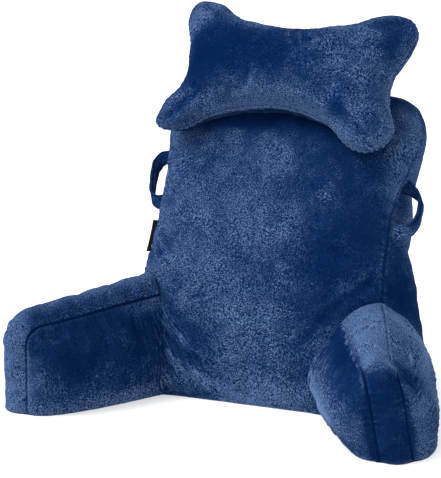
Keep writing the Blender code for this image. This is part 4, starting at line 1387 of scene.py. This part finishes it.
class PILLOW_PT_panel(bpy.types.Panel):
    """The pieces of the pillow and their settings"""

    bl_label = "Reading pillow"
    bl_space_type = "VIEW_3D"
    bl_region_type = "UI"
    bl_category = "Pillow"

    def draw(self, context):
        column = self.layout.column(align=True)
        for step in STEPS:
            column.operator(step.bl_idname)
        for name in SETTINGS:
            settings = getattr(context.scene, name)
            box = self.layout.box()
            for key in settings.__annotations__:
                box.prop(settings, key)


STEPS = (
    PILLOW_OT_backrest, PILLOW_OT_arms, PILLOW_OT_neck_pillow, PILLOW_OT_loops, PILLOW_OT_tag, PILLOW_OT_studio
)
SETTINGS = {
    "pillow_cloth": PillowCloth, "pillow_shape": PillowShape, "pillow_velour": PillowVelour,
    "pillow_studio": PillowStudio,
}
CLASSES = (*SETTINGS.values(), *STEPS, PILLOW_PT_panel)


def aim(piece, place, heading, track):
    """Puts a light or the camera in its place, its heading towards the pillow or away from it."""
    piece.location = place
    piece.rotation_mode = "QUATERNION"
    piece.rotation_quaternion = heading.to_track_quat(track, "Y")
    bpy.context.scene.collection.objects.link(piece)


def build_studio():
    """A wide pale floor, an even sky, a wide soft light above on the left, and the camera."""
    scene = bpy.context.scene
    settings = scene.pillow_studio
    angle = np.linspace(0.0, 2.0 * math.pi, 64, endpoint=False)
    mesh = bpy.data.meshes.new("floor")
    circle = FLOOR_RADIUS * np.stack([np.cos(angle), np.sin(angle), angle * 0.0], axis=1)
    mesh.from_pydata(circle, [], [range(len(angle))])
    mesh.materials.append(floor_material())
    floor = bpy.data.objects.new("floor", mesh)
    scene.collection.objects.link(floor)
    world = bpy.data.worlds.new("studio")
    world.use_nodes = True
    background = world.node_tree.nodes["Background"]
    background.inputs["Color"].default_value = (1.0, 1.0, 1.0, 1.0)
    background.inputs["Strength"].default_value = settings.sky
    scene.world = world
    light = bpy.data.lights.new("key", "SUN")
    light.energy, light.angle = settings.key, settings.spread
    above = Vector((-1.5, -0.9, 1.9))
    aim(bpy.data.objects.new("key", light), above, above, "Z")
    lens = bpy.data.cameras.new("camera")
    lens.sensor_fit, lens.sensor_width, lens.lens = "HORIZONTAL", 36.0, 36.0 * FOCAL_PIXELS / FRAME_PIXELS
    level = math.cos(ELEVATION)
    away = Vector((math.sin(AZIMUTH) * level, -math.cos(AZIMUTH) * level, math.sin(ELEVATION)))
    camera = bpy.data.objects.new("camera", lens)
    aim(camera, LOOK + away * DISTANCE, -away, "-Z")
    scene.camera = camera
    scene.view_settings.view_transform = "Standard"


def register():
    """Registers the classes and hangs the settings on the scene."""
    for kind in CLASSES:
        bpy.utils.register_class(kind)
    for name, kind in SETTINGS.items():
        setattr(bpy.types.Scene, name, PointerProperty(type=kind))


def unregister():
    """Takes the settings off the scene and unregisters the classes."""
    for name in SETTINGS:
        delattr(bpy.types.Scene, name)
    for kind in reversed(CLASSES):
        bpy.utils.unregister_class(kind)


def main():
    register()
    for step in STEPS:
        getattr(bpy.ops.pillow, step.bl_idname.split(".")[1])()


if __name__ == "__main__":
    main()
